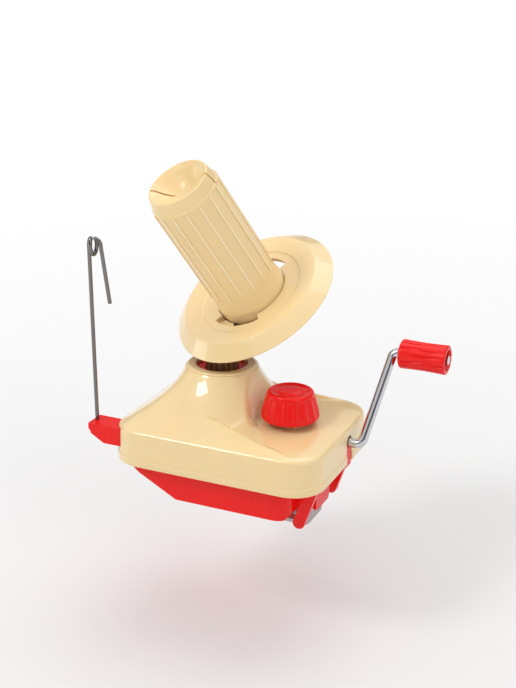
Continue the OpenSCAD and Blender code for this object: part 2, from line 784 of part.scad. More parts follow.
// Section of the disc from its outer edge to the boss, radius against height along the cone
module disc_section() {
    rim = cup_floor + disc_t;
    polygon([
        [disc_r - edge_t, -edge_drop], [disc_r - 0.3 * edge_t, -edge_drop],
        [disc_r, -edge_drop + 0.3 * edge_t], [ridge_r, 0],
        [ridge_r - disc_t, -0.15 * dish_d], [step_r, -dish_d + step_h * 0.7],
        [step_r - step_h, -dish_d], [hole_r, -dish_d],
        [hole_r, -cup_floor], [post_r + boss_wall, -cup_floor],
        [post_r + boss_wall - run_gap, -cup_floor + bush_wall], [post_r + run_gap, -cup_floor + bush_wall],
        [post_r + run_gap, -boss_drop], [post_r + boss_wall, -boss_drop],
        [post_r + boss_wall, -rim], [hole_r + cup_t, -rim], [hole_r + cup_t, -dish_d - disc_t],
        [step_r, -dish_d - disc_t + 0.4 * step_h], [ridge_r - disc_t, -disc_t - 0.1 * dish_d],
        [ridge_r - 0.1 * disc_t, -disc_t]
    ]);
}
edge_t = 2;

// Two windows beside the cone's skirt, from the height z along the cone upwards
module windows(z) {
    for (k = [0, 1]) tilted() rotate([0, 0, window_0 + 180 * k - window_a / 2])
        translate([0, 0, z]) rotate_extrude(angle = window_a) translate([window_in, 0])
            square([window_r - window_in, cup_floor + 2 * disc_t + over]);
}

module flyer_disc() {
    color("wheat") difference() {
        union() {
            difference() {
                tilted() rotate_extrude($fn = 128) disc_section();
                windows(-cup_floor - disc_t - over);
            }
            // upright socket for the spindle, cut off under the disc's face
            difference() {
                at_spindle(hub_low) cylinder(r = hub_r, h = cross_d);
                tilted() translate([-disc_r, -disc_r, -dish_d - disc_t / 2])
                    cube([2 * disc_r, 2 * disc_r, 2 * cross_d]);
                tilted() translate([0, 0, -cup_floor]) cylinder(r = hole_r, h = cross_d);
                windows(-dish_d - disc_t - hub_dip);
            }
        }
        at_spindle(hub_low - over) cylinder(r = spindle_r, h = socket_top - hub_low + over);
    }
}

// Cone

module winding_cone() {
    collar_z = cone_l - collar_l;
    color("wheat") tilted() difference() {
        union() {
            rotate_extrude($fn = 96) union() {
                // shell with the bowl at the top
                polygon([
                    [skirt_r - cone_t, -skirt_drop], [skirt_r - 0.3 * cone_t, -skirt_drop],
                    [skirt_r, -skirt_drop + 0.3 * cone_t], [skirt_r, 0],
                    [cone_body_r, skirt_drop], [cone_body_r, collar_z],
                    [cone_top_r, cone_l - rim_round], [cone_top_r - 0.5 * rim_round, cone_l],
                    [cone_top_r - 1.4 * rim_round, cone_l - 0.1 * rim_round],
                    [0.72 * cone_top_r, cone_l - 0.3 * bowl_d], [0.45 * cone_top_r, cone_l - 0.72 * bowl_d],
                    [0.2 * cone_top_r, cone_l - 0.94 * bowl_d], [0, cone_l - bowl_d],
                    [0, cone_l - bowl_d - cone_t], [0.24 * cone_top_r, cone_l - bowl_d - 0.8 * cone_t],
                    [0.7 * cone_top_r, cone_l - 0.6 * bowl_d - cone_t],
                    [cone_top_r - cone_t, cone_l - collar_l / 2],
                    [cone_body_r - cone_t, collar_z - cone_t], [cone_body_r - cone_t, skirt_drop]
                ]);
                // post that turns in the disc's boss
                translate([0, -post_low]) square([post_r, cone_l - bowl_d - cone_t / 2 + post_low]);
            }
            for (i = [0 : cone_ribs - 1]) rotate([0, 0, i * 360 / cone_ribs])
                translate([cone_body_r - rib_h, -rib_w / 2, rib_low])
                    cube([2 * rib_h, rib_w, collar_z - rib_w - rib_low]);
        }
        // slit that holds the yarn's end
        rotate([0, 0, slit_a]) translate([-skirt_r - over, -slit_w / 2, cone_l - slit_d])
            cube([2 * skirt_r + 2 * over, slit_w, slit_d + over]);
    }
}
rim_round = 1.4;
slit_a = 127.4;

module planet_gear() {
    dx = face_w / 2 * sin(tilt);            // half the face across the axis
    dz = face_w / 2 * cos(tilt);            // and along it
    rx = dedendum * cos(tilt);
    rz = dedendum * sin(tilt);
    color("saddlebrown") tilted() union() {
        rotate_extrude($fn = 96) polygon([
            [post_r, -post_low], [hub_r, -post_low], [hub_r, -planet_drop - disc_t],
            [planet_r - rx - dx - rim_in, -planet_drop - disc_t],
            [planet_r - rx - dx - rim_in, -planet_drop - dz - rz],
            [planet_r - rx + dx, -planet_drop - dz - rz],
            [planet_r - rx - dx, -planet_drop + dz - rz],
            [planet_r - rx - dx - rim_in, -planet_drop + dz - rz],
            [planet_r - rx - dx - rim_in, -planet_drop],
            [hub_r, -planet_drop], [hub_r, -boss_drop - seat_gap], [post_r, -boss_drop - seat_gap]
        ]);
        for (i = [0 : planet_n - 1]) rotate([0, 0, (i + 0.5) * 360 / planet_n])
            translate([planet_r, 0, -planet_drop]) rotate([0, -tilt, 0])
                translate([0, 0, -face_w / 2]) linear_extrude(face_w) tooth_2d();
    }
}
rim_in = 2.4;

module cone_washer() {
    color("silver") tilted() translate([0, 0, -post_low - clip_t]) ring(hub_r - over, boss_bore_r, clip_t);
}
module cone_screw() {
    color("silver") tilted() translate([0, 0, -post_low - clip_t - screw_head_h])
        cylinder(r = screw_head_r, h = screw_head_h);
}

// Clamp

module clamp_knob() {
    color("red") at_knob(knob_z) difference() {
        union() {
            rotate_extrude($fn = 96) polygon([
                [0, knob_h - dish_h], [ring_r, knob_h - dish_h], [ring_r + ring_w, knob_h - dish_h + ring_h],
                [knob_top_r - 2 * knob_dome, knob_h - dish_h + ring_h], [knob_top_r - knob_dome, knob_h],
                [knob_top_r, knob_h - knob_dome], [knob_r, knob_skirt], [knob_r - knob_dome, 0],
                [knob_r - knob_wall - knob_dome, 0], [knob_top_r - knob_wall, knob_h - 2 * knob_wall],
                [knob_hub_r, knob_h - 2 * knob_wall], [knob_hub_r, 0], [0, 0]
            ]);
        }
        // flutes round the side, leaning with it
        for (i = [0 : knob_flutes - 1]) rotate([0, 0, i * 360 / knob_flutes])
            translate([knob_r + flute_r - flute_d, 0, knob_skirt])
                rotate([0, -atan2(knob_r - knob_top_r, knob_h - knob_skirt), 0])
                    cylinder(r = flute_r, h = knob_h - knob_skirt - 3 * knob_dome);
        translate([0, 0, -over]) cylinder(r = screw_r, h = over + knob_h - 2 * knob_wall);
    }
}
knob_skirt = 3;

module clamp_screw() {
    top = knob_z + knob_h - 2 * knob_wall;
    color("silver") union() {
        at_knob(screw_low) cylinder(r = screw_r, h = top - screw_low);
        at_knob(deck_z - bush_drop - seat_gap - collar_t) cylinder(r = collar_r, h = collar_t);
    }
}

jaw_z = -jaw_gap - bracket_t;
module jaw_bracket() {
    arm_l = web_x - knob_x + nut_w;
    color("gainsboro") translate([0, bracket_y, 0]) difference() {
        rotate([90, 0, 0]) linear_extrude(bracket_w, center = true) difference() {
            union() {
                translate([web_x - bracket_t, jaw_z + bend_r]) square([bracket_t, arm_top - jaw_z - 2 * bend_r]);
                translate([web_x - jaw_reach, jaw_z]) square([jaw_reach - bend_r, bracket_t]);
                translate([web_x - arm_l, arm_top - bracket_t]) square([arm_l - bend_r, bracket_t]);
                for (s = [0, 1]) translate([web_x - bend_r, s > 0 ? arm_top - bend_r : jaw_z + bend_r])
                    intersection() {
                        difference() { circle(bend_r); circle(bend_r - bracket_t); }
                        translate([0, s > 0 ? 0 : -bend_r]) square([bend_r, bend_r]);
                    }
            }
        }
        translate([knob_x, knob_y - bracket_y, arm_top - bracket_t - over])
            cylinder(r = screw_r + slide_gap, h = bracket_t + 2 * over);
        // stamped slot through the bend of the jaw
        translate([web_x - slot_l - bend_r, -slot_w / 2, jaw_z - over])
            cube([slot_l, slot_w, bracket_t + 2 * over]);
    }
}

module jaw_nut() {
    color("silver") at_knob(arm_top - bracket_t - nut_t) difference() {
        translate([-nut_w / 2, -nut_w / 2, 0]) cube([nut_w, nut_w, nut_t]);
        translate([0, 0, -over]) cylinder(r = screw_r + run_gap, h = nut_t + 2 * over);
    }
}

module jaw_pad() {
    color("dimgray") translate([web_x - jaw_reach, bracket_y - bracket_w / 2, -jaw_gap])
        cube([pad_l, bracket_w, pad_t]);
}

// Yarn guide

module guide_arm() {
    z0 = guide_top - guide_h;
    color("red") difference() {
        translate([guide_left, -guide_y, 0]) rotate([90, 0, 0])
            linear_extrude(guide_w, center = true) polygon([
                [0, guide_top], [guide_l, guide_top], [guide_l, z0],
                [chamfer_x, z0], [head_step, z0 + chamfer_z],
                [head_step, z0 + chamfer_z + head_step], [0, z0 + chamfer_z + 2 * head_step]
            ]);
        // hollow underside of the bar
        translate([guide_left + chamfer_x + guide_wall, -guide_y - guide_w / 2 + guide_wall, z0 - over])
            cube([guide_l - chamfer_x - 2 * guide_wall, guide_w - 2 * guide_wall,
                guide_h - guide_wall + over]);
        translate([guide_left + wire_in, -guide_y, guide_top - wire_seat])
            cylinder(r = wire_r + run_gap, h = wire_seat + over, $fn = 32);
    }
}
guide_wall = 1.8;

// Guide wire: upright, pigtail bend over the top, slanting second leg
module guide_wire() {
    z0 = guide_top - wire_seat + seat_gap;
    top = guide_top + wire_h - loop_r;
    a = atan2(leg2_slant, leg2_l);
    color("silver") translate([guide_left + wire_in, -guide_y, 0]) union() {
        translate([0, 0, z0]) cylinder(r = wire_r, h = top - z0);
        translate([loop_r, 0, top]) rotate([90, 0, 0]) {
            rotate([0, 0, a - bend_lap])
                rotate_extrude(angle = 180 - a + 2 * bend_lap) translate([loop_r, 0]) circle(wire_r + bend_swell);
            rotate([0, 0, a]) translate([loop_r, 0]) rotate([90, 0, 0])
                cylinder(r = wire_r, h = norm([leg2_l, leg2_slant]));
        }
    }
}

bottom_tray();
top_cover();
case_screws();
floor_bearing();
neck_bearing();
sun_gear();
shaft_cap();
deck_bush();
crank_rod();
drive_wheel();
shaft_clip();
crank_grip();
push_nut();
spindle();
pinion();
flyer_disc();
spindle_clip();
winding_cone();
planet_gear();
cone_washer();
cone_screw();
clamp_knob();
clamp_screw();
jaw_bracket();
jaw_nut();
jaw_pad();
guide_arm();
guide_wire();
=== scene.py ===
import json
import math

import bmesh
import bpy
import numpy as np
from bpy.props import FloatProperty, FloatVectorProperty, PointerProperty
from bpy.types import Operator, Panel, PropertyGroup
from mathutils import Matrix, Vector


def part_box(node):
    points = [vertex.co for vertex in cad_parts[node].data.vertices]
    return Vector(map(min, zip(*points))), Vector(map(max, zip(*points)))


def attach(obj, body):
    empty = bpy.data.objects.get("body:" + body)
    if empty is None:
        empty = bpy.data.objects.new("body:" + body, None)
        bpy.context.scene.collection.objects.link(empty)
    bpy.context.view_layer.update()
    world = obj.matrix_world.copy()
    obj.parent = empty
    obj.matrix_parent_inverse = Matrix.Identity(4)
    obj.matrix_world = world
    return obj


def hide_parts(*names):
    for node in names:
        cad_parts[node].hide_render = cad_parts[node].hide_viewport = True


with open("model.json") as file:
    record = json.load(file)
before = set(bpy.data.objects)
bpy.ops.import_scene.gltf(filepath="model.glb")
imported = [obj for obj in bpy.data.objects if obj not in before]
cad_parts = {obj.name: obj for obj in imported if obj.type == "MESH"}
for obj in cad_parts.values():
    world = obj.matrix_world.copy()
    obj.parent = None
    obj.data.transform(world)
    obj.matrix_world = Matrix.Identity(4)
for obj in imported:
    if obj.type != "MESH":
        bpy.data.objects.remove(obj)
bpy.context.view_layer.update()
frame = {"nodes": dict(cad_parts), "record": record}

bl_info = {
    "name": "Yarn Ball Winder",
    "version": (1, 0, 0),
    "blender": (4, 5, 0),
    "location": "3D View > Sidebar > Winder",
    "description": "Looks of a hand-cranked yarn ball winder around its CAD frame",
    "category": "Object",
}

NODES = frame["nodes"]
MM = 0.001


def linear(hex_colour):
    """An sRGB hex value as linear red, green and blue."""
    value = hex_colour.lstrip("#")
    srgb = [int(value[i:i + 2], 16) / 255 for i in (0, 2, 4)]
    return tuple(c / 12.92 if c <= 0.04045 else ((c + 0.055) / 1.055) ** 2.4 for c in srgb)


class WinderColours(PropertyGroup):
    """Colours of the winder's finishes."""
    cream: FloatVectorProperty(name="Cream", description="Cover, disc and cone", subtype="COLOR",
                               default=linear("#EFD39D"), min=0, max=1)
    # painted highlight: the paler cream painted on the cone's rib crests
    crest_highlight: FloatVectorProperty(name="Rib crest", description="Thin ribs of the cone", subtype="COLOR",
                               default=linear("#FFEBC8"), min=0, max=1)
    red: FloatVectorProperty(name="Red", description="Tray, knob, grip and guide arm", subtype="COLOR",
                             default=linear("#EC0A03"), min=0, max=1)
    brown: FloatVectorProperty(name="Brown", description="Neck gear and disc gear", subtype="COLOR",
                               default=linear("#80603F"), min=0, max=1)
    white: FloatVectorProperty(name="White", description="Crown wheel and pinion", subtype="COLOR",
                               default=linear("#E9E6DC"), min=0, max=1)
    chrome: FloatVectorProperty(name="Chrome", description="Crank rod and spindle", subtype="COLOR",
                                default=linear("#CFCFD3"), min=0, max=1)
    wire: FloatVectorProperty(name="Wire", description="Yarn guide wire", subtype="COLOR",
                              default=linear("#7C7876"), min=0, max=1)
    zinc: FloatVectorProperty(name="Zinc", description="Clamp bracket and nut", subtype="COLOR",
                              default=linear("#B9B1B2"), min=0, max=1)
    steel: FloatVectorProperty(name="Steel", description="Screws and clips", subtype="COLOR",
                               default=linear("#A9A9AC"), min=0, max=1)
    rubber: FloatVectorProperty(name="Rubber", description="Jaw pad", subtype="COLOR",
                                default=linear("#222222"), min=0, max=1)
    floor: FloatVectorProperty(name="Floor", description="Studio floor", subtype="COLOR",
                               default=linear("#E8E8E8"), min=0, max=1)


class WinderSizes(PropertyGroup):
    """Sizes of the cover and places of the camera, in metres."""
    cover_length: FloatProperty(name="Cover length", description="Along the crank shaft", unit="LENGTH",
                                default=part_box("top_cover")[1][0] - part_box("top_cover")[0][0],
                                min=0.1, max=0.14)
    cover_width: FloatProperty(name="Cover width", description="Across the crank shaft", unit="LENGTH",
                               default=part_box("top_cover")[1][1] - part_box("top_cover")[0][1],
                               min=0.08, max=0.1)
    corner: FloatProperty(name="Corner", description="Radius of the cover's upright corners",
                          unit="LENGTH", default=0.0175, min=0.015, max=0.02)
    camera_azimuth: FloatProperty(name="Azimuth", description="Camera's place round the winder",
                                  subtype="ANGLE", default=math.radians(24.59))
    camera_elevation: FloatProperty(name="Elevation", description="Camera's height as an angle",
                                    subtype="ANGLE", default=math.radians(20.02))
    camera_distance: FloatProperty(name="Distance", description="Camera's distance", unit="LENGTH",
                                   default=0.67004, min=0.3, max=2)
    lens: FloatProperty(name="Lens", description="Focal length in millimetres on a 36 mm sensor",
                        unit="CAMERA", default=63.99, min=20, max=200)


# Materials

# A colour mix's sockets by number, since its sockets for numbers and vectors have the same names
MIX_A, MIX_B, MIX_RESULT = 6, 7, 2
# Noise lies mostly between these values
NOISE_LOW, NOISE_HIGH = 0.3, 0.7

PLASTIC_IOR = 1.53
CLOUD_SCALE, CLOUD_TINT = 50.0, 0.04     # clouds of 20 mm, this much paler or darker
POLISHED, SCUFFED = 0.05, 0.07           # roughness lost and gained by handling
TOOL_BUMP, COAT_ROUGHNESS = 0.15, 0.045
SCATTER_REACH = 0.0015

SMEAR_DARK, SMEAR_PALE = 0.88, 1.05
BRIGHT, DULL = 0.7, 1.4                  # share of a metal's roughness where it is bright or dull
STREAK_BUMP = 0.2

GRAIN, GRAIN_DEPTH = 0.0009, 0.00003     # the tool's texture on the glossy plastics, in metres


def add_node(tree, kind, settings=None, inputs=None, links=None):
    """Adds one node, with its settings, the values of its inputs and the links into them."""
    node = tree.nodes.new(kind)
    for name, value in (settings or {}).items():
        setattr(node, name, value)
    for name, value in (inputs or {}).items():
        node.inputs[name].default_value = value
    for name, source in (links or {}).items():
        tree.links.new(source, node.inputs[name])
    return node


def rgba(colour, gain=1.0):
    """A shader's colour, made paler or darker by the gain."""
    return tuple(min(1.0, c * gain) for c in colour[:3]) + (1.0,)


def start_material(name):
    """A new material without nodes, its node tree and the place on the piece."""
    material = bpy.data.materials.new(name)
    material.use_nodes = True
    tree = material.node_tree
    tree.nodes.clear()
    place = add_node(tree, "ShaderNodeTexCoord").outputs["Object"]
    return material, tree, place


def end_material(tree, shader, bump=None):
    """Joins the shader, and its bump if any, to the material's output."""
    if bump is not None:
        tree.links.new(bump.outputs["Normal"], shader.inputs["Normal"])
    add_node(tree, "ShaderNodeOutputMaterial", links={"Surface": shader.outputs["BSDF"]})


def noise(tree, place, scale, detail=2.0):
    """Noise of so many clouds a metre, from 0 to 1."""
    return add_node(tree, "ShaderNodeTexNoise", inputs={"Scale": scale, "Detail": detail},
                    links={"Vector": place}).outputs["Fac"]


def mixed(tree, factor, dark, pale):
    """A colour that goes from dark to pale with the factor."""
    mix = add_node(tree, "ShaderNodeMix", {"data_type": "RGBA"}, {MIX_A: dark, MIX_B: pale},
                   {"Factor": factor})
    return mix.outputs[MIX_RESULT]


def spread(tree, value, low, high, start=NOISE_LOW, end=NOISE_HIGH):
    """The value's stretch from start to end, spread from low to high."""
    spreader = add_node(tree, "ShaderNodeMapRange",
                        inputs={"From Min": start, "From Max": end, "To Min": low, "To Max": high},
                        links={"Value": value})
    return spreader.outputs["Result"]


def moulded(name, colour, roughness, grain=GRAIN, grain_depth=GRAIN_DEPTH, coat=0.0, scatter=0.0,
            shine=0.5):
    """Injection-moulded plastic: cloudy colour a few per cent either way over 20 mm, a fine
    tool texture, and roughness that changes a little where hands have polished it."""
    material, tree, place = start_material(name)
    cloud = noise(tree, place, CLOUD_SCALE, 3.0)
    tint = mixed(tree, cloud, rgba(colour, 1 - CLOUD_TINT), rgba(colour, 1 + CLOUD_TINT))
    wear = spread(tree, cloud, roughness - POLISHED, roughness + SCUFFED)
    bump = add_node(tree, "ShaderNodeBump", inputs={"Strength": TOOL_BUMP, "Distance": grain_depth},
                    links={"Height": noise(tree, place, 1.0 / grain)})
    shader = add_node(tree, "ShaderNodeBsdfPrincipled",
                      inputs={"IOR": PLASTIC_IOR, "Specular IOR Level": shine,
                              "Coat Weight": coat, "Coat Roughness": COAT_ROUGHNESS,
                              "Subsurface Weight": scatter, "Subsurface Scale": SCATTER_REACH},
                      links={"Base Color": tint, "Roughness": wear})
    end_material(tree, shader, bump)
    return material


def plated(name, colour, roughness, streak, bump_depth):
    """Plated steel: a metal with its colour broken a little by handling, and fine drawn or
    rolled streaks that spread the highlights."""
    material, tree, place = start_material(name)
    smear = noise(tree, place, 1.0 / streak, 4.0)
    tint = mixed(tree, smear, rgba(colour, SMEAR_DARK), rgba(colour, SMEAR_PALE))
    wear = spread(tree, smear, roughness * BRIGHT, roughness * DULL)
    bump = add_node(tree, "ShaderNodeBump", inputs={"Strength": STREAK_BUMP, "Distance": bump_depth},
                    links={"Height": smear})
    shader = add_node(tree, "ShaderNodeBsdfPrincipled", inputs={"Metallic": 1.0},
                      links={"Base Color": tint, "Roughness": wear})
    end_material(tree, shader, bump)
    return material


def make_finishes(colours):
    """One finish per material slot of the record, and three that the looks add: the cone's
    cream, its rib crests with a painted highlight and the guide wire's steel."""
    return {
        # glossy cream ABS, moulded in a polished tool
        "cream_plastic": moulded("cream_abs", colours.cream, 0.34, coat=0.9, scatter=0.12, shine=0.3),
        # the same ABS from a less polished tool, on the cone
        "cream_cone": moulded("cream_abs_cone", colours.cream, 0.34, coat=0.3, scatter=0.12, shine=0.3),
        # painted highlight: the same ABS in a paler cream on the cone's rib crests, standing in for the
        # bright lines that light draws along them
        "cream_crest_highlight": moulded("cream_abs_crest_highlight", colours.crest_highlight, 0.25, coat=0.45, scatter=0.12,
                               shine=0.3),
        # glossy red ABS
        "red_plastic": moulded("red_abs", colours.red, 0.25, coat=0.12, scatter=0.04, shine=0.25),
        # satin dark brown nylon, as gears are moulded in
        "brown_plastic": moulded("brown_nylon", colours.brown, 0.42, 0.0007, 0.00004, scatter=0.05),
        # satin white acetal
        "white_plastic": moulded("white_acetal", colours.white, 0.4, 0.0007, scatter=0.15),
        # chromed steel rod
        "chromed_steel": plated("chromed_steel", colours.chrome, 0.06, 0.004, 0.000004),
        # nickel-plated spring wire, darker than the rod
        "wire_steel": plated("spring_wire", colours.wire, 0.1, 0.004, 0.000004),
        # bright screws and clips
        "screw_steel": plated("plated_steel", colours.steel, 0.25, 0.002, 0.00002),
        # zinc-plated stamped steel, dull and slightly warm
        "zinc_steel": plated("zinc_steel", colours.zinc, 0.38, 0.003, 0.00003),
        # black rubber
        "pad_rubber": moulded("black_rubber", colours.rubber, 0.7, 0.0006, 0.00006),
    }


FINISHES = {}


def finish_of(node):
    """The finish of a node's material slot in the record."""
    for row in frame["record"]["subparts"]:
        if row["node"] == node:
            return FINISHES[row["material_slot"]]
    raise RuntimeError("no material slot for " + node)


def dress(node):
    """Gives a CAD node the finish of its material slot."""
    materials = NODES[node].data.materials
    materials.clear()
    materials.append(finish_of(node))


# Mesh building. All points are in millimetres.

OVER = 1        # how far a cutter reaches past what it cuts


def smooth(k):
    """A step from 0 to 1 without corners."""
    k = np.clip(k, 0, 1)
    return k * k * (3 - 2 * k)


def off_whole(k):
    """How far k is from the nearest whole number."""
    return abs(np.mod(k + 0.5, 1) - 0.5)


def closed_mesh(name, points, faces):
    """A mesh from points in millimetres, with doubled points merged and faces turned outwards."""
    shape = bmesh.new()
    corners = [shape.verts.new([float(c) * MM for c in p]) for p in points]
    for face in faces:
        shape.faces.new([corners[i] for i in face])
    bmesh.ops.remove_doubles(shape, verts=shape.verts, dist=1e-6)
    bmesh.ops.recalc_face_normals(shape, faces=shape.faces)
    mesh = bpy.data.meshes.new(name)
    shape.to_mesh(mesh)
    shape.free()
    return mesh


def new_piece(name, points, faces, body, slot, replaces=(), crease=38):
    """A mesh piece from points in millimetres, smooth up to the crease angle, on its body."""
    mesh = closed_mesh(name, points, faces)
    obj = bpy.data.objects.new(name, mesh)
    bpy.context.scene.collection.objects.link(obj)
    mesh.materials.append(FINISHES[slot])
    crease_edges(obj, crease)
    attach(obj, body)
    if replaces:
        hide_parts(*replaces)
    return obj


def crease_edges(obj, angle):
    """Smooth shading but at edges sharper than the angle in degrees."""
    obj.data.polygons.foreach_set("use_smooth", [True] * len(obj.data.polygons))
    obj.data.set_sharp_from_angle(angle=math.radians(angle))


def ring_faces(rings, count, closed):
    """Quads between rings of count points; closed joins the last ring to the first."""
    faces = []
    for j in range(rings if closed else rings - 1):
        a, b = j * count, ((j + 1) % rings) * count
        faces += [(a + i, a + (i + 1) % count, b + (i + 1) % count, b + i) for i in range(count)]
    return faces


def cut(obj, cutter):
    """Takes the cutter's space out of obj and deletes the cutter."""
    cutter.data.validate()
    modifier = obj.modifiers.new("cut", "BOOLEAN")
    modifier.operation = "DIFFERENCE"
    modifier.solver = "EXACT"
    modifier.object = cutter
    graph = bpy.context.evaluated_depsgraph_get()
    mesh = bpy.data.meshes.new_from_object(obj.evaluated_get(graph))
    obj.modifiers.clear()
    obj.data = mesh
    bpy.data.objects.remove(cutter)


def cutter_object(points, faces):
    """A piece that only serves a cut, which deletes it."""
    obj = bpy.data.objects.new("cutter", closed_mesh("cutter", points, faces))
    bpy.context.scene.collection.objects.link(obj)
    return obj


def box_cutter(low, high, place=Matrix.Identity(4)):
    """A box between two corners, turned and moved by place."""
    points = [place @ Vector((x, y, z)) for x in (low[0], high[0]) for y in (low[1], high[1])
              for z in (low[2], high[2])]
    faces = [(0, 1, 3, 2), (4, 6, 7, 5), (0, 4, 5, 1), (2, 3, 7, 6), (0, 2, 6, 4), (1, 5, 7, 3)]
    return cutter_object(points, faces)


def round_cutter(start, axis, radius, length, count=64):
    """A cylinder from start along the x or z axis."""
    points = []
    for end in (0, length):
        for i in range(count):
            a = 2 * math.pi * i / count
            u, v = radius * math.cos(a), radius * math.sin(a)
            points.append((start[0] + end, start[1] + u, start[2] + v) if axis == "x"
                          else (start[0] + u, start[1] + v, start[2] + end))
    faces = ring_faces(2, count, False) + [tuple(range(count))[::-1], tuple(range(count, 2 * count))]
    return cutter_object(points, faces)


def sector_cutter(inner, outer, start, sweep, low, high, place, count=36):
    """A part of a ring from start over sweep degrees, between two radii and two heights."""
    points, size = [], 4
    for i in range(count + 1):
        a = math.radians(start + sweep * i / count)
        for r, z in ((inner, low), (outer, low), (outer, high), (inner, high)):
            points.append(place @ Vector((r * math.cos(a), r * math.sin(a), z)))
    faces = []
    for i in range(count):
        for j in range(size):
            k = (j + 1) % size
            faces.append((i * size + j, (i + 1) * size + j, (i + 1) * size + k, i * size + k))
    faces += [(0, 1, 2, 3), tuple(count * size + j for j in range(size))[::-1]]
    return cutter_object(points, faces)


def lathe(profile, place, count=96, waviness=None, angles=None):
    """Points and faces of a profile of (radius, height) turned round place's z axis. waviness
    gives the radius from the angles, the profile's row and its own radius."""
    angles = np.arange(count) * 2 * math.pi / count if angles is None else angles
    count = len(angles)
    points = []
    for row, (radius, height) in enumerate(profile):
        r = np.full(count, float(radius))
        if waviness is not None:
            r = waviness(angles, row, r)
        ring = np.column_stack((r * np.cos(angles), r * np.sin(angles), np.full(count, float(height))))
        points += [place @ Vector(p) for p in ring]
    return points, ring_faces(len(profile), count, False)


def arc(centre, radius, start, end, steps):
    """Profile points on an arc from start to end degrees."""
    return [(centre[0] + radius * math.cos(math.radians(a)),
             centre[1] + radius * math.sin(math.radians(a))) for a in np.linspace(start, end, steps)]


def turns(end, steps):
    """Angles from zero to end degrees in even steps, both ends included."""
    return [math.radians(end * k / steps) for k in range(steps + 1)]


# The housing's cover: the same sizes and forms as its CAD node, drawn finer

SPINDLE = np.array((-15.8, 7.3))
KNOB = np.array((28.0, -0.8))
SHAFT_Y, SHAFT_Z = 7.3, 29.0

# Heights of the rim, of the walls over it and of the neck over them, then the wall's thickness,
# the band round the rim, the walls' draft and their rounded shoulder
RIM_Z, WALL_H, NECK_RISE, NECK_R = 17.5, 19.9, 25.1, 18.9
WALL_TOP = RIM_Z + WALL_H
NECK_TOP = WALL_TOP + NECK_RISE
COVER_T, BAND_STEP, BAND_H, DRAFT, SHOULDER = 2.2, 0.4, 4.4, 0.3, 3.2
NECK_T, ROOF_MORE = 3, 0.9              # the neck's wall, and what the roof has over the walls
RIM_LIP, RIM_LIP_H, LIP_SLOPE = 2.4, 1.8, 0.35        # the rim's thicker stretch inside
NECK_ROUND, MOUTH_ROUND = 1.2, 0.5
MOUTH_R, MOUTH_DEPTH = 14.0, 7.2
LEDGE_W, LEDGE_T = 2, 1.6               # ledge in the mouth, under the neck's bearing
CORNER_N, LONG_N, SHORT_N = 24, 28, 14  # steps round a corner and along the sides

TENT_EVEN, TENT_STEEP = 0.68, 0.32      # the walls' rise to the neck: even share, steep share
DECK_RISE, DECK_EDGE = 0.7, 8           # the deck over the walls, reached 1/8 of the way inwards
FOOT_REACH, FOOT_BEND = 27, 2.2         # the tower's foot on the deck
KNOB_R, KNOB_ROOM, KNOB_FADE = 15.4, 1.2, 8
TOWER_X, TOWER_FADE = -12, 18           # the deck begins here and is whole so much further
# Ridges that bound the deck: distance from the middle line at x = 0 and its growth along x
FRONT_RIDGE, BACK_RIDGE, RIDGE_W = (28.6, 0.29), (33.0, 0.18), 3.4

SHAFT_HOLE_R, SHAFT_HOLE_DEPTH, SHAFT_HOLE_L = 3.8, 12, 20
ARM_Y, ARM_ROOM_W, ARM_ROOM_Z, ARM_ROOM_X = -34, 12.7, (24.65, 35.55), -10
BUSH_SEAT_R, BUSH_HOLE_R = 8.35, 5.2
BUSH_HOLE_DEPTH, BUSH_HOLE_H, SEAT_H = 8, 20, 25


def outline(sizes, inset):
    """Points round the cover in plan: arcs at the corners, even steps along the sides."""
    radius = sizes.corner / MM
    hx = sizes.cover_length / MM / 2 - radius
    hy = sizes.cover_width / MM / 2 - radius
    r = max(radius - inset, 1)
    arcs = [[(cx + r * math.cos(math.radians(a0 + 90 * k / CORNER_N)),
              cy + r * math.sin(math.radians(a0 + 90 * k / CORNER_N))) for k in range(CORNER_N + 1)]
            for cx, cy, a0 in ((hx, hy, 0), (-hx, hy, 90), (-hx, -hy, 180), (hx, -hy, 270))]
    points = []
    for n, corner in enumerate(arcs):
        points += corner
        end, start = np.array(corner[-1]), np.array(arcs[(n + 1) % 4][0])
        steps = LONG_N if n % 2 == 0 else SHORT_N
        points += [tuple(end + (start - end) * k / steps) for k in range(1, steps)]
    return np.array(points)


def tent(s):
    """Height of the surface that rises from the walls to the neck, s of the way up."""
    return WALL_TOP + NECK_RISE * (TENT_EVEN * s + TENT_STEEP * s ** 4)


def deck(p, s):
    """The flat deck and the tower's foot on it, kept clear of the knob."""
    r = np.linalg.norm(p - SPINDLE, axis=1)
    clear = smooth((np.linalg.norm(p - KNOB, axis=1) - KNOB_R - KNOB_ROOM) / KNOB_FADE)
    foot = np.clip(1 - (r - NECK_R) / FOOT_REACH, 0, 1) ** FOOT_BEND
    return WALL_TOP + DECK_RISE * min(1, s * DECK_EDGE) + clear * (NECK_RISE - DECK_RISE) * foot


def past_tower(q):
    """Share of the deck along x, from the tower's side to the crank's."""
    return smooth((q[:, 0] - TOWER_X) / TOWER_FADE)


def on_deck(q):
    """Share of the flat deck at plan points: it ends at ridges that run out to the right corners."""
    x = np.clip(q[:, 0], 0, None)
    front, back = (start + growth * x for start, growth in (FRONT_RIDGE, BACK_RIDGE))
    ridge = np.where(q[:, 1] < 0, front, back)
    return past_tower(q) * smooth((ridge - abs(q[:, 1])) / RIDGE_W)


def toward(p, radius, s):
    """Plan points s of the way from p to the circle of that radius round the spindle."""
    v = p - SPINDLE
    length = np.linalg.norm(v, axis=1)[:, None]
    return SPINDLE + v * (1 + (radius / length - 1) * s)


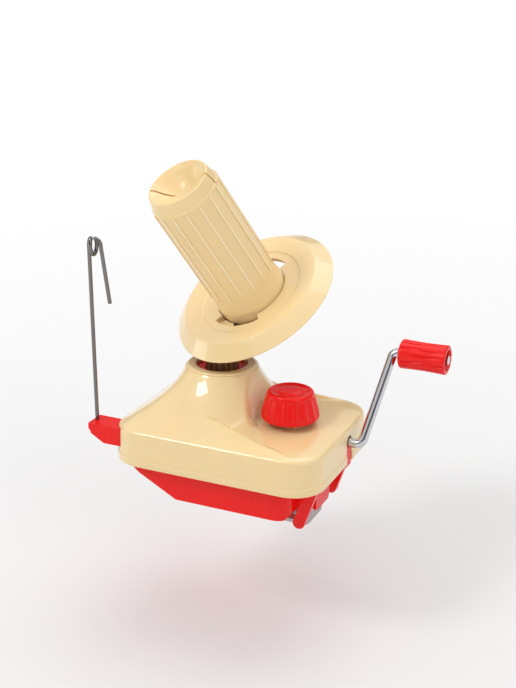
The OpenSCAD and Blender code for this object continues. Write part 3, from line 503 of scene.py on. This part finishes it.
def cover_rings(sizes):
    """Rings of the cover, from the rim up the outside, over the neck and down the inside."""
    def flat(inset, z):
        p = outline(sizes, inset)
        return np.column_stack((p, np.full(len(p), z)))

    def circle(radius, z):
        p = toward(outline(sizes, 0), radius, 1)
        return np.column_stack((p, np.full(len(p), z)))

    def outer(s):
        q = toward(outline(sizes, side + SHOULDER), NECK_R, s)
        z = tent(s) + (deck(q, s) - tent(s)) * on_deck(q)
        return np.column_stack((q, np.minimum(z, NECK_TOP - NECK_ROUND)))

    def inner(s):
        q = toward(outline(sizes, COVER_T + SHOULDER + BAND_STEP), NECK_R - NECK_T, s)
        z = tent(s) + (deck(q, s) - tent(s)) * past_tower(q) - COVER_T - ROOF_MORE
        return np.column_stack((q, np.minimum(z, ledge - LEDGE_T)))

    side = BAND_STEP + DRAFT
    ledge = NECK_TOP - MOUTH_DEPTH
    # the band round the rim, with rounded edges: inset and height over the rim
    rings = [flat(inset, RIM_Z + z) for inset, z in (
        (0.35, 0), (0.1, 0.1), (0, 0.35), (0, BAND_H - 0.3), (0.08, BAND_H - 0.08),
        (BAND_STEP, BAND_H + 0.1), (BAND_STEP + 0.02, BAND_H + 0.6))]
    rings += [flat(side + SHOULDER * (1 - math.cos(t)),
                   WALL_TOP - SHOULDER * (1 - math.sin(t))) for t in turns(60, 8)]
    rings += [outer(s) for s in (*np.linspace(0.03, 0.9, 36), *np.linspace(0.92, 0.995, 6))]
    rings += [circle(NECK_R - NECK_ROUND * (1 - math.cos(t)),
                     NECK_TOP - NECK_ROUND * (1 - math.sin(t))) for t in turns(90, 6)]
    rings += [circle(MOUTH_R + MOUTH_ROUND * (1 - math.sin(t)),
                     NECK_TOP - MOUTH_ROUND * (1 - math.cos(t))) for t in turns(90, 4)]
    rings += [circle(MOUTH_R, ledge), circle(MOUTH_R - LEDGE_W, ledge),
              circle(MOUTH_R - LEDGE_W, ledge - LEDGE_T)]
    rings += [inner(s) for s in (1, 0.8, 0.55, 0.3, 0.06)]
    wall, lip = COVER_T + BAND_STEP, COVER_T + RIM_LIP
    rings += [flat(wall, WALL_TOP - SHOULDER - COVER_T), flat(wall, RIM_Z + RIM_LIP_H + LIP_SLOPE),
              flat(lip, RIM_Z + RIM_LIP_H), flat(lip, RIM_Z)]
    return rings


class WINDER_OT_cover(Operator):
    """Builds the cream cover, from its rounded walls over the deck to the neck"""
    bl_idname = "winder.cover"
    bl_label = "Cover"

    def execute(self, context):
        sizes = context.scene.winder_sizes
        rings = cover_rings(sizes)
        faces = ring_faces(len(rings), len(rings[0]), True)
        cover = new_piece("cover_shell", np.vstack(rings), faces, "base", "cream_plastic",
                          ("top_cover",))
        end = sizes.cover_length / MM / 2
        # hole of the crank's shaft, open down to the rim, where the tray's tongue fills it
        inside = end - SHAFT_HOLE_DEPTH
        cut(cover, round_cutter((inside, SHAFT_Y, SHAFT_Z), "x", SHAFT_HOLE_R, SHAFT_HOLE_L))
        cut(cover, box_cutter((inside, SHAFT_Y - SHAFT_HOLE_R, RIM_Z - OVER),
                              (inside + SHAFT_HOLE_L, SHAFT_Y + SHAFT_HOLE_R, SHAFT_Z)))
        # window of the guide arm
        cut(cover, box_cutter((-end - OVER, ARM_Y - ARM_ROOM_W / 2, ARM_ROOM_Z[0]),
                              (ARM_ROOM_X, ARM_Y + ARM_ROOM_W / 2, ARM_ROOM_Z[1])))
        # seat and hole of the knob's bush
        cut(cover, round_cutter((*KNOB, WALL_TOP + DECK_RISE), "z", BUSH_SEAT_R, SEAT_H))
        cut(cover, round_cutter((*KNOB, WALL_TOP - BUSH_HOLE_DEPTH), "z", BUSH_HOLE_R, BUSH_HOLE_H))
        crease_edges(cover, 32)
        return {"FINISHED"}


# The clamp knob

KNOB_Z, KNOB_H, KNOB_TOP_R, KNOB_ROUND = 41.6, 15.0, 12.4, 1.7
KNOB_SKIRT, KNOB_HUB_R, KNOB_BORE_R, KNOB_WALL, KNOB_ROOF = 3, 5.4, 3.0, 2.2, 4.4
KNOB_FOOT_IN, KNOB_EDGE_IN = 1.0, 1.2   # the foot's rounding, and the side's end below the top
FLUTES, FLUTE_D, FLUTE_FADE = 16, 0.6, 1.2
FLUTE_BEYOND = 2                        # rows of the top's rounding that the flutes run on to


def knob_profile():
    """The knob's section in three stretches: hollow inside, side, and the top with its ring."""
    inside = [(KNOB_BORE_R, 0.0), (KNOB_HUB_R, 0.0), (KNOB_HUB_R, KNOB_H - KNOB_ROOF),
              (KNOB_TOP_R - KNOB_WALL, KNOB_H - KNOB_ROOF), (KNOB_R - KNOB_WALL - KNOB_FOOT_IN, 0.0)]
    side = [(KNOB_R - KNOB_FOOT_IN, 0.0), (KNOB_R - 0.4, 0.15), (KNOB_R - 0.08, 0.6), (KNOB_R, 1.4)]
    lean, rise = KNOB_TOP_R - KNOB_R, KNOB_H - KNOB_SKIRT - KNOB_EDGE_IN
    side += [(KNOB_R + lean * k / 20, KNOB_SKIRT + rise * k / 20) for k in range(21)]
    top = arc((KNOB_TOP_R - KNOB_ROUND, KNOB_H - 1.8), KNOB_ROUND, 12, 90, 9)
    top += [(9.9, KNOB_H - 0.2), (9.5, KNOB_H - 0.6), (6.5, KNOB_H - 0.65), (6.2, KNOB_H - 0.3),
            (5.9, KNOB_H - 0.2), (3, KNOB_H - 0.2), (0.05, KNOB_H - 0.2)]
    return inside, side, top


class WINDER_OT_knob(Operator):
    """Builds the fluted clamp knob"""
    bl_idname = "winder.knob"
    bl_label = "Knob"

    def execute(self, context):
        inside, side, top = knob_profile()
        profile = inside + side + top
        fluted = range(len(inside), len(inside) + len(side) + FLUTE_BEYOND)

        def flutes(angles, row, r):
            if row not in fluted:
                return r
            z = profile[row][1]
            fade = smooth((KNOB_H - 2.2 - z) / FLUTE_FADE) * smooth((z - 0.6) / FLUTE_FADE)
            across = off_whole(angles * FLUTES / (2 * math.pi)) * 2
            return r - FLUTE_D * fade * smooth((0.86 - across) / 0.5)

        points, faces = lathe(profile, Matrix.Translation((*KNOB, KNOB_Z)), 400, flutes)
        new_piece("knob_cap", points, faces, "knob", "red_plastic", ("clamp_knob",), 50)
        return {"FINISHED"}


# The cone, in its own frame: the origin in the middle of the disc's ridge, z along the cone

TILT, LEAN_A, CROSS_Z, CROSS_D = math.radians(34.9), math.radians(-118), 126.8, 32.2
TILTED = (Matrix.Translation((*SPINDLE, CROSS_Z)) @ Matrix.Rotation(LEAN_A, 4, "Z")
          @ Matrix.Rotation(TILT, 4, "Y") @ Matrix.Translation((0, 0, -CROSS_D)))

CONE_L, CONE_R, SKIRT_R, SKIRT_H, CONE_RIM_R = 78.5, 18.7, 19.7, 6, 16.8
BOWL_R, BOWL_FROM, BOWL_DEPTH = 14.6, 0.15, 8.85
RIBS, RIB_H, RIB_HALF_A, RIB_PHASE = 16, 0.6, math.radians(1.2), math.radians(7.5)
RIB_PITCH = 2 * math.pi / RIBS
RIB_LOW, RIB_HIGH, CREST = 10.0, 71.0, 0.8   # the crest is what lies over this share of a rib
SLIT_W, SLIT_DEPTH, SLIT_REACH, SLIT_A = 1.3, 8, 21, math.radians(127.4)
POST_R, POST_LOW, POST_TOP, POST_EDGE = 3, -21.9, 68, 0.3
TO_AXIS = 0.02                          # radius at which a profile ends beside its axis


def cone_profile():
    """The cone's section in two stretches: its outside up to the rim, then bowl and inside."""
    outer = [(17.7, -6), (19.1, -6), (19.5, -5.85), (SKIRT_R, -5.4), (SKIRT_R, -0.2),
             (SKIRT_R - 0.02, 0.1)]
    outer += [(SKIRT_R + (CONE_R - SKIRT_R) * k / 6, SKIRT_H * k / 6) for k in range(1, 7)]
    outer += [(CONE_R, RIB_LOW - 0.25), (CONE_R, RIB_LOW), (CONE_R, RIB_LOW + 0.3),
              (CONE_R, RIB_HIGH - 0.5), (CONE_R, RIB_HIGH - 0.1), (CONE_R - 0.02, RIB_HIGH + 0.4),
              (CONE_R - 0.4, RIB_HIGH + 0.7)]
    outer += [(CONE_R - 0.4 - 1.3 * (k / 5) ** 1.2, RIB_HIGH + 0.7 + 5.2 * k / 5) for k in range(1, 6)]
    outer += arc((CONE_RIM_R - 0.75, CONE_L - 0.8), 0.8, 15, 150, 9)
    bowl = [(BOWL_R * (1 - k / 16), CONE_L - BOWL_FROM - BOWL_DEPTH * (1 - (1 - k / 16) ** 2))
            for k in range(1, 16)]
    inside = [(TO_AXIS, CONE_L - 9), (TO_AXIS, CONE_L - 11), (4, CONE_L - 10.6), (11.8, CONE_L - 7.4),
              (14.8, CONE_L - 7.5), (16.7, CONE_L - 17), (16.7, 6)]
    return outer, bowl + inside + [outer[0]]


def rib_angles():
    """Angles round the cone: close together at the ribs, wide between them."""
    half = [-0.36, -0.22, -0.13] + [-w * RIB_HALF_A / RIB_PITCH for w in (1.2, 1.05, 0.85, 0.5)]
    steps = np.array(sorted(half + [-a for a in half] + [0, 0.5]))
    return np.concatenate([(i + steps) * RIB_PITCH for i in range(RIBS)]) + RIB_PHASE


class WINDER_OT_cone(Operator):
    """Builds the ribbed cone with its bowl, its slit and its inner post"""
    bl_idname = "winder.cone"
    bl_label = "Cone"

    def execute(self, context):
        outer, inner = cone_profile()
        profile = outer + inner

        def raised(angles, row, r):
            on_rib = row < len(outer) and RIB_LOW < profile[row][1] < RIB_HIGH - 0.2
            near = off_whole((angles - RIB_PHASE) / RIB_PITCH) * RIB_PITCH / RIB_HALF_A
            return r + RIB_H * on_rib * np.clip((1.05 - near) / 0.2, 0, 1) ** 0.5

        points, faces = lathe(profile, TILTED, waviness=raised, angles=rib_angles())
        cone = new_piece("cone_shell", points, faces, "cone", "cream_plastic", ("winding_cone",), 30)
        cut(cone, box_cutter((-SLIT_REACH, -SLIT_W / 2, CONE_L - SLIT_DEPTH),
                             (SLIT_REACH, SLIT_W / 2, CONE_L + OVER),
                             TILTED @ Matrix.Rotation(SLIT_A, 4, "Z")))
        cone.data.materials[0] = FINISHES["cream_cone"]
        # the faces on the rib crests take the paler finish: a painted highlight along the ribs
        cone.data.materials.append(FINISHES["cream_crest_highlight"])
        upright = TILTED.inverted()
        for face in cone.data.polygons:
            x, y, z = upright @ (face.center / MM)
            if RIB_LOW < z < RIB_HIGH and math.hypot(x, y) > CONE_R + CREST * RIB_H:
                face.material_index = 1
        crease_edges(cone, 30)
        post = [(TO_AXIS, POST_LOW), (POST_R - POST_EDGE, POST_LOW), (POST_R, POST_LOW + POST_EDGE),
                (POST_R, POST_TOP), (TO_AXIS, POST_TOP)]
        points, faces = lathe(post, TILTED, 48)
        new_piece("cone_post", points, faces, "cone", "cream_plastic", (), 30)
        return {"FINISHED"}


# The flyer disc, in the cone's frame, and its upright socket

DISC_R, RIDGE_R, STEP_R, HOLE_R = 46.8, 39.2, 29.6, 20.15
EDGE_DROP, DISH_D, CUP_FLOOR, DISC_T, CUP_T = 6.8, 2.2, 9.2, 2.3, 2
POST_BORE_R, BOSS_R, BOSS_COLLAR, BOSS_LOW = 3.05, 5.8, 2.4, -16
WINDOW_IN, WINDOW_R, WINDOW_A, WINDOW_STARTS = 16.5, 24.8, 70, (-13, 167)
SOCKET_LOW, SOCKET_FLOOR, SOCKET_TOP, SOCKET_R = 74.71, 80.71, 105, 6.4
SPINDLE_R = 3.0
DISC_MIDDLE = -3.35                     # the socket ends inside the disc's wall, at this height
DISC_WINDOW, SOCKET_WINDOW = (-12, 3), (-5.7, 20)     # heights that the windows are cut over
AWAY, OVER_DISC, OVER_CUP = 50, 60, 40  # past the disc to every side, and past the socket upwards


def disc_profile():
    """The disc's section: bevel, ridge, dished face, step, cup with the post's boss, underside."""
    bevel = Vector((DISC_R - RIDGE_R, 0.6 - EDGE_DROP)).normalized()
    profile = [(DISC_R - 2.0, -EDGE_DROP), (DISC_R - 0.5, -EDGE_DROP),
               (DISC_R - 0.15, -EDGE_DROP + 0.12), (DISC_R, -EDGE_DROP + 0.4),
               (DISC_R - 0.04, -EDGE_DROP + 0.72)]
    profile += [(DISC_R - 0.04 - bevel.x * k, -EDGE_DROP + 0.72 - bevel.y * k) for k in (0.5, 3, 6, 9)]
    profile += [(RIDGE_R + 0.25, -0.2), (RIDGE_R + 0.08, -0.06), (RIDGE_R - 0.08, 0.0),
                (RIDGE_R - 0.3, 0.0)]
    profile += [(RIDGE_R - 0.3 - 9.0 * k / 6, -1.5 * (k / 6) ** 1.5) for k in range(1, 7)]
    profile += [(STEP_R + 0.05, -1.55), (STEP_R - 0.12, -1.68), (STEP_R - 0.7, -DISH_D + 0.08),
                (STEP_R - 0.9, -DISH_D), (25, -DISH_D), (HOLE_R + 0.25, -DISH_D),
                (HOLE_R, -DISH_D - 0.25)]
    cup_under, dish_under = -CUP_FLOOR - DISC_T, -DISH_D - DISC_T
    profile += [(HOLE_R, -CUP_FLOOR), (BOSS_R, -CUP_FLOOR), (BOSS_R - 0.1, -CUP_FLOOR + BOSS_COLLAR),
                (POST_BORE_R, -CUP_FLOOR + BOSS_COLLAR), (POST_BORE_R, BOSS_LOW), (BOSS_R, BOSS_LOW),
                (BOSS_R, cup_under), (HOLE_R + CUP_T, cup_under), (HOLE_R + CUP_T, dish_under),
                (STEP_R, dish_under + 0.36), (RIDGE_R - DISC_T, -DISC_T - 0.22),
                (RIDGE_R - 0.23, -DISC_T), (DISC_R - 2.0, -EDGE_DROP)]
    return profile


def cut_windows(obj, low, high):
    """Cuts the two windows beside the cone's skirt, between two heights along the cone."""
    for start in WINDOW_STARTS:
        cut(obj, sector_cutter(WINDOW_IN, WINDOW_R, start, WINDOW_A, low, high, TILTED))


class WINDER_OT_disc(Operator):
    """Builds the flyer disc with its cup, windows and boss, and the socket for the spindle"""
    bl_idname = "winder.disc"
    bl_label = "Disc"

    def execute(self, context):
        points, faces = lathe(disc_profile(), TILTED, 192)
        disc = new_piece("disc_shell", points, faces, "rotor", "cream_plastic", ("flyer_disc",), 22)
        cut_windows(disc, *DISC_WINDOW)
        crease_edges(disc, 22)

        profile = [(SPINDLE_R, SOCKET_LOW), (SOCKET_R - 0.2, SOCKET_LOW), (SOCKET_R, SOCKET_LOW + 0.2),
                   (SOCKET_R, SOCKET_TOP), (TO_AXIS, SOCKET_TOP), (TO_AXIS, SOCKET_FLOOR),
                   (SPINDLE_R, SOCKET_FLOOR), (SPINDLE_R, SOCKET_LOW)]
        points, faces = lathe(profile, Matrix.Translation((*SPINDLE, 0)), 64)
        socket = new_piece("disc_socket", points, faces, "rotor", "cream_plastic", (), 30)
        # what would stand over the disc and in the cup goes
        cut(socket, box_cutter((-AWAY, -AWAY, DISC_MIDDLE), (AWAY, AWAY, OVER_DISC), TILTED))
        cut(socket, sector_cutter(0.01, HOLE_R, 0, 359.9, -CUP_FLOOR, OVER_CUP, TILTED, 90))
        cut_windows(socket, *SOCKET_WINDOW)
        crease_edges(socket, 30)
        return {"FINISHED"}


# The crank's grip, placed by the box of its CAD node

GRIP_R, GRIP_BORE_R, GRIP_SOCKET_R, GRIP_SOCKET_D, GRIP_WAIST = 7.8, 2.6, 5.5, 5, 0.35
GRIP_RIBS, GROOVE_D, GRIP_TURN = 13, 0.75, 0.3        # the turn in radians, as in the photo
GROOVED = range(4, 33)                  # rows of the profile that the grooves run over


def grip_profile(length):
    """The grip's section from its bore over the waisted body into the hollow outer end."""
    body = [(GRIP_BORE_R, 0), (4.9, 0), (5.4, 0.05), (6.2, 0.15), (6.9, 0.35), (7.4, 0.7)]
    body += [(GRIP_R - GRIP_WAIST * math.sin(math.pi * k / 24), 1.3 + (length - 1.9) * k / 24)
             for k in range(25)]
    body += [(7.3, length - 0.15), (6.9, length), (5.9, length), (GRIP_SOCKET_R + 0.1, length - 0.3),
             (GRIP_SOCKET_R, length - GRIP_SOCKET_D), (GRIP_BORE_R, length - GRIP_SOCKET_D)]
    return body


class WINDER_OT_grip(Operator):
    """Builds the ribbed grip with its hollow outer end"""
    bl_idname = "winder.grip"
    bl_label = "Grip"

    def execute(self, context):
        low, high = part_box("crank_grip")
        start, length = low[0] / MM, (high[0] - low[0]) / MM
        middle_y, middle_z = ((low[k] + high[k]) / 2 / MM for k in (1, 2))
        body = grip_profile(length)

        def grooves(angles, row, r):
            # the grooves wander and change in depth, as in a hand-cut tool
            if row not in GROOVED:
                return r
            along = body[row][1] / length
            wander = 0.1 * np.sin(5 * angles + 7 * along) + 0.08 * np.sin(3 * angles - 11 * along)
            wave = np.mod(angles * GRIP_RIBS / (2 * math.pi) + wander, 1)
            groove = smooth((0.2 - abs(wave - 0.5)) / 0.16)
            depth = 0.72 + 0.28 * np.sin(4 * angles + 9 * along)
            return r - GROOVE_D * groove * depth

        place = (Matrix.Translation((start, middle_y, middle_z)) @ Matrix.Rotation(math.pi / 2, 4, "Y")
                 @ Matrix.Rotation(GRIP_TURN, 4, "Z"))
        points, faces = lathe(body, place, 360, grooves)
        new_piece("grip_sleeve", points, faces, "grip", "red_plastic", ("crank_grip",), 50)
        return {"FINISHED"}


# The guide wire

WIRE_X, WIRE_Y, WIRE_LOW, WIRE_TOP, WIRE_R = -70.3, ARM_Y, 27.1, 132.2, 1.05
WIRE_STEP = 2
DOME, DOME_TURNS = 0.35, (0.5, 1.0, 1.45)        # a wire end's height in radii; radians of its rings
BEND_R, EYE_R = 3.5, 4.2
EYE_IN, EYE_PITCH, EYE_FLAT, EYE_OUT = 0.42, 0.7, 0.5, 0.95     # shares of the bend and of the eye
EYE_LAP = 0.15                          # the eye turns this much more than once round, at each end
BEND_TURN = 0.9 * math.pi / 2
LEG_SLANT, LEG_L = math.atan2(4, 30), 30.2


def sweep(path, radius, count=24):
    """A round tube along path, its ends closed by small domes."""
    path = [Vector(p) for p in path]
    tangents = [(path[min(i + 1, len(path) - 1)] - path[max(i - 1, 0)]).normalized()
                for i in range(len(path))]
    side = tangents[0].orthogonal().normalized()
    rings = []
    for p, t in zip(path, tangents):
        side = (side - side.dot(t) * t).normalized()
        across = t.cross(side)
        rings.append([p + radius * (math.cos(a) * side + math.sin(a) * across)
                      for a in (2 * math.pi * i / count for i in range(count))])
    for end, sign in ((0, -1), (-1, 1)):
        ring, p, t = rings[end], path[end], tangents[end] * sign
        dome = [[p + (q - p) * math.cos(a) + t * radius * DOME * math.sin(a) for q in ring]
                for a in DOME_TURNS]
        rings = dome[::-1] + rings if end == 0 else rings + dome
    points = [p for ring in rings for p in ring]
    faces = ring_faces(len(rings), count, False)
    faces += [tuple(range(count))[::-1], tuple(range(len(points) - count, len(points)))]
    return points, faces


def wire_path():
    """The wire's middle line: upright, half a bend, one closed eye, the other half, second leg."""
    x, y, top = WIRE_X, WIRE_Y, WIRE_TOP
    path = [(x, y, WIRE_LOW + k * WIRE_STEP) for k in range(int((top - WIRE_LOW) / WIRE_STEP))]
    path += [(x + BEND_R * EYE_IN * (1 - math.cos(a)), y, top + BEND_R * math.sin(a))
             for a in np.linspace(0, BEND_TURN, 9)]
    for a in np.linspace(-EYE_LAP, 2 * math.pi + EYE_LAP, 40):
        share = (a + EYE_LAP) / (2 * math.pi + 2 * EYE_LAP)
        path.append((x + BEND_R * (EYE_IN + EYE_PITCH * share), y - EYE_R * math.sin(a) * EYE_FLAT,
                     top + BEND_R - EYE_R + EYE_R * math.cos(a)))
    path += [(x + 2 * BEND_R - BEND_R * EYE_OUT * (1 - math.cos(a)), y, top + BEND_R * math.sin(a))
             for a in np.linspace(BEND_TURN, 0.1, 9)]
    end = Vector((x + 2 * BEND_R, y, top))
    down = Vector((math.sin(LEG_SLANT), 0, -math.cos(LEG_SLANT)))
    return path + [end + down * k for k in np.linspace(1, LEG_L, 16)]


class WINDER_OT_wire(Operator):
    """Bends the guide wire: upright, closed eye and second leg"""
    bl_idname = "winder.wire"
    bl_label = "Guide wire"

    def execute(self, context):
        points, faces = sweep(wire_path(), WIRE_R)
        wire = new_piece("wire_bent", points, faces, "wire", "chromed_steel", ("guide_wire",), 60)
        wire.data.materials[0] = FINISHES["wire_steel"]
        return {"FINISHED"}


class WINDER_OT_finishes(Operator):
    """Makes the finishes and gives them to the CAD nodes"""
    bl_idname = "winder.finishes"
    bl_label = "Finishes"

    def execute(self, context):
        FINISHES.update(make_finishes(context.scene.winder_colours))
        for node in NODES:
            dress(node)
        return {"FINISHED"}


# The studio, in metres

FLOOR_HALF, FLOOR_Z = 9.0, -0.075
PAPER_SCALE, PAPER_SHADE, PAPER_ROUGHNESS = 300.0, 0.985, 0.9
# painted light: the floor's glow starts and is whole at these distances from the middle, in metres
GLOW_FROM, GLOW_TO, GLOW = 0.2, 1.8, 0.42
# The sky: height of each band as the direction's z, and its tone. It is pale near the horizon
# behind the winder, and the dark ring gives the plated rods their dark streaks.
SKY = ((0.0, 0.9), (0.05, 0.8), (0.13, 0.34), (0.27, 0.28), (0.3, 0.03), (0.385, 0.03), (0.41, 0.85),
       (0.8, 1.0))
SKY_STRENGTH = 0.92
# Lamps: name, place, width and power in watts. All point at AIM.
LAMPS = (("key", (-0.75, -0.9, 1.3), 0.42, 7), ("fill", (1.2, -0.7, 0.7), 0.45, 2.6),
         ("side", (-1.25, -0.3, 0.1), 0.4, 0.9), ("top", (0.1, 0.5, 1.5), 1.0, 5.2))
AIM = Vector((0, 0, 0.08))
SENSOR = 36
FRAME_RIGHT, FRAME_UP = 0.00811, 0.07291     # the picture's middle, right and up of the origin


def make_floor(scene, colour):
    """The studio's paper floor, with a painted glow that makes it whiter further out."""
    half, level = FLOOR_HALF, FLOOR_Z
    mesh = bpy.data.meshes.new("floor")
    mesh.from_pydata([(-half, -half, level), (half, -half, level), (half, half, level),
                      (-half, half, level)], [], [(0, 1, 2, 3)])
    floor = bpy.data.objects.new("floor", mesh)
    scene.collection.objects.link(floor)
    material, tree, place = start_material("studio_paper")
    tint = mixed(tree, noise(tree, place, PAPER_SCALE), rgba(colour, PAPER_SHADE), rgba(colour))
    # painted light: the paper glows more further out, as if lit from behind
    far = add_node(tree, "ShaderNodeVectorMath", {"operation": "LENGTH"}, links={0: place})
    glow = spread(tree, far.outputs["Value"], 0.0, GLOW, GLOW_FROM, GLOW_TO)
    shader = add_node(tree, "ShaderNodeBsdfPrincipled",
                      inputs={"Roughness": PAPER_ROUGHNESS, "Emission Color": (1, 1, 1, 1)},
                      links={"Base Color": tint, "Emission Strength": glow})
    end_material(tree, shader)
    mesh.materials.append(material)


def make_sky(scene):
    """The world: bands of grey by height, as SKY says."""
    world = bpy.data.worlds.new("studio")
    world.use_nodes = True
    scene.world = world
    tree = world.node_tree
    tree.nodes.clear()
    direction = add_node(tree, "ShaderNodeTexCoord").outputs["Generated"]
    height = add_node(tree, "ShaderNodeSeparateXYZ", links={"Vector": direction}).outputs["Z"]
    ramp = add_node(tree, "ShaderNodeValToRGB", links={"Fac": height})
    bands = ramp.color_ramp.elements
    while len(bands) < len(SKY):
        bands.new(1.0)
    for band, (position, tone) in zip(bands, SKY):
        band.position = position
        band.color = (tone, tone, tone, 1)
    light = add_node(tree, "ShaderNodeBackground", inputs={"Strength": SKY_STRENGTH},
                     links={"Color": ramp.outputs["Color"]})
    add_node(tree, "ShaderNodeOutputWorld", links={"Surface": light.outputs["Background"]})


def make_lamps(scene):
    """The studio's square lamps."""
    for name, place, width, power in LAMPS:
        data = bpy.data.lights.new(name, "AREA")
        data.size = width
        data.energy = power
        lamp = bpy.data.objects.new(name, data)
        lamp.location = place
        lamp.rotation_euler = (AIM - Vector(place)).to_track_quat("-Z", "Y").to_euler()
        scene.collection.objects.link(lamp)


def make_camera(scene, sizes):
    """The photo's camera: round the winder by its azimuth and up by its elevation."""
    azimuth, elevation = sizes.camera_azimuth, sizes.camera_elevation
    right = Vector((math.cos(azimuth), math.sin(azimuth), 0))
    back = Vector((math.sin(azimuth) * math.cos(elevation),
                   -math.cos(azimuth) * math.cos(elevation), math.sin(elevation)))
    up = back.cross(right)
    data = bpy.data.cameras.new("camera")
    data.sensor_width = SENSOR
    data.lens = sizes.lens
    data.clip_start, data.clip_end = 0.01, 50
    camera = bpy.data.objects.new("camera", data)
    place = FRAME_RIGHT * right + FRAME_UP * up + sizes.camera_distance * back
    turn = Matrix((right, up, back)).transposed().to_4x4()
    camera.matrix_world = Matrix.Translation(place) @ turn
    scene.collection.objects.link(camera)
    scene.camera = camera


class WINDER_OT_stage(Operator):
    """Makes the floor, the studio lights and the camera"""
    bl_idname = "winder.stage"
    bl_label = "Studio"

    def execute(self, context):
        scene = context.scene
        scene.view_settings.view_transform = "Standard"
        scene.view_settings.look = "None"
        make_floor(scene, scene.winder_colours.floor)
        make_sky(scene)
        make_lamps(scene)
        make_camera(scene, scene.winder_sizes)
        return {"FINISHED"}


class WINDER_PT_panel(Panel):
    """Lists the winder's sizes, colours and operators"""
    bl_idname = "WINDER_PT_panel"
    bl_label = "Yarn ball winder"
    bl_space_type = "VIEW_3D"
    bl_region_type = "UI"
    bl_category = "Winder"

    def draw(self, context):
        for group in (context.scene.winder_sizes, context.scene.winder_colours):
            for name in group.__annotations__:
                self.layout.prop(group, name)
        for step in STEPS:
            self.layout.operator(step.bl_idname)


# The operators, in the order that main() calls them
STEPS = (WINDER_OT_finishes, WINDER_OT_cover, WINDER_OT_cone, WINDER_OT_disc, WINDER_OT_knob,
         WINDER_OT_grip, WINDER_OT_wire, WINDER_OT_stage)
CLASSES = (WinderColours, WinderSizes) + STEPS + (WINDER_PT_panel,)


def register():
    for cls in CLASSES:
        bpy.utils.register_class(cls)
    bpy.types.Scene.winder_colours = PointerProperty(type=WinderColours)
    bpy.types.Scene.winder_sizes = PointerProperty(type=WinderSizes)


def unregister():
    del bpy.types.Scene.winder_sizes
    del bpy.types.Scene.winder_colours
    for cls in reversed(CLASSES):
        bpy.utils.unregister_class(cls)


def main():
    register()
    for step in STEPS:
        group, name = step.bl_idname.split(".")
        getattr(getattr(bpy.ops, group), name)()


if __name__ == "__main__":
    main()
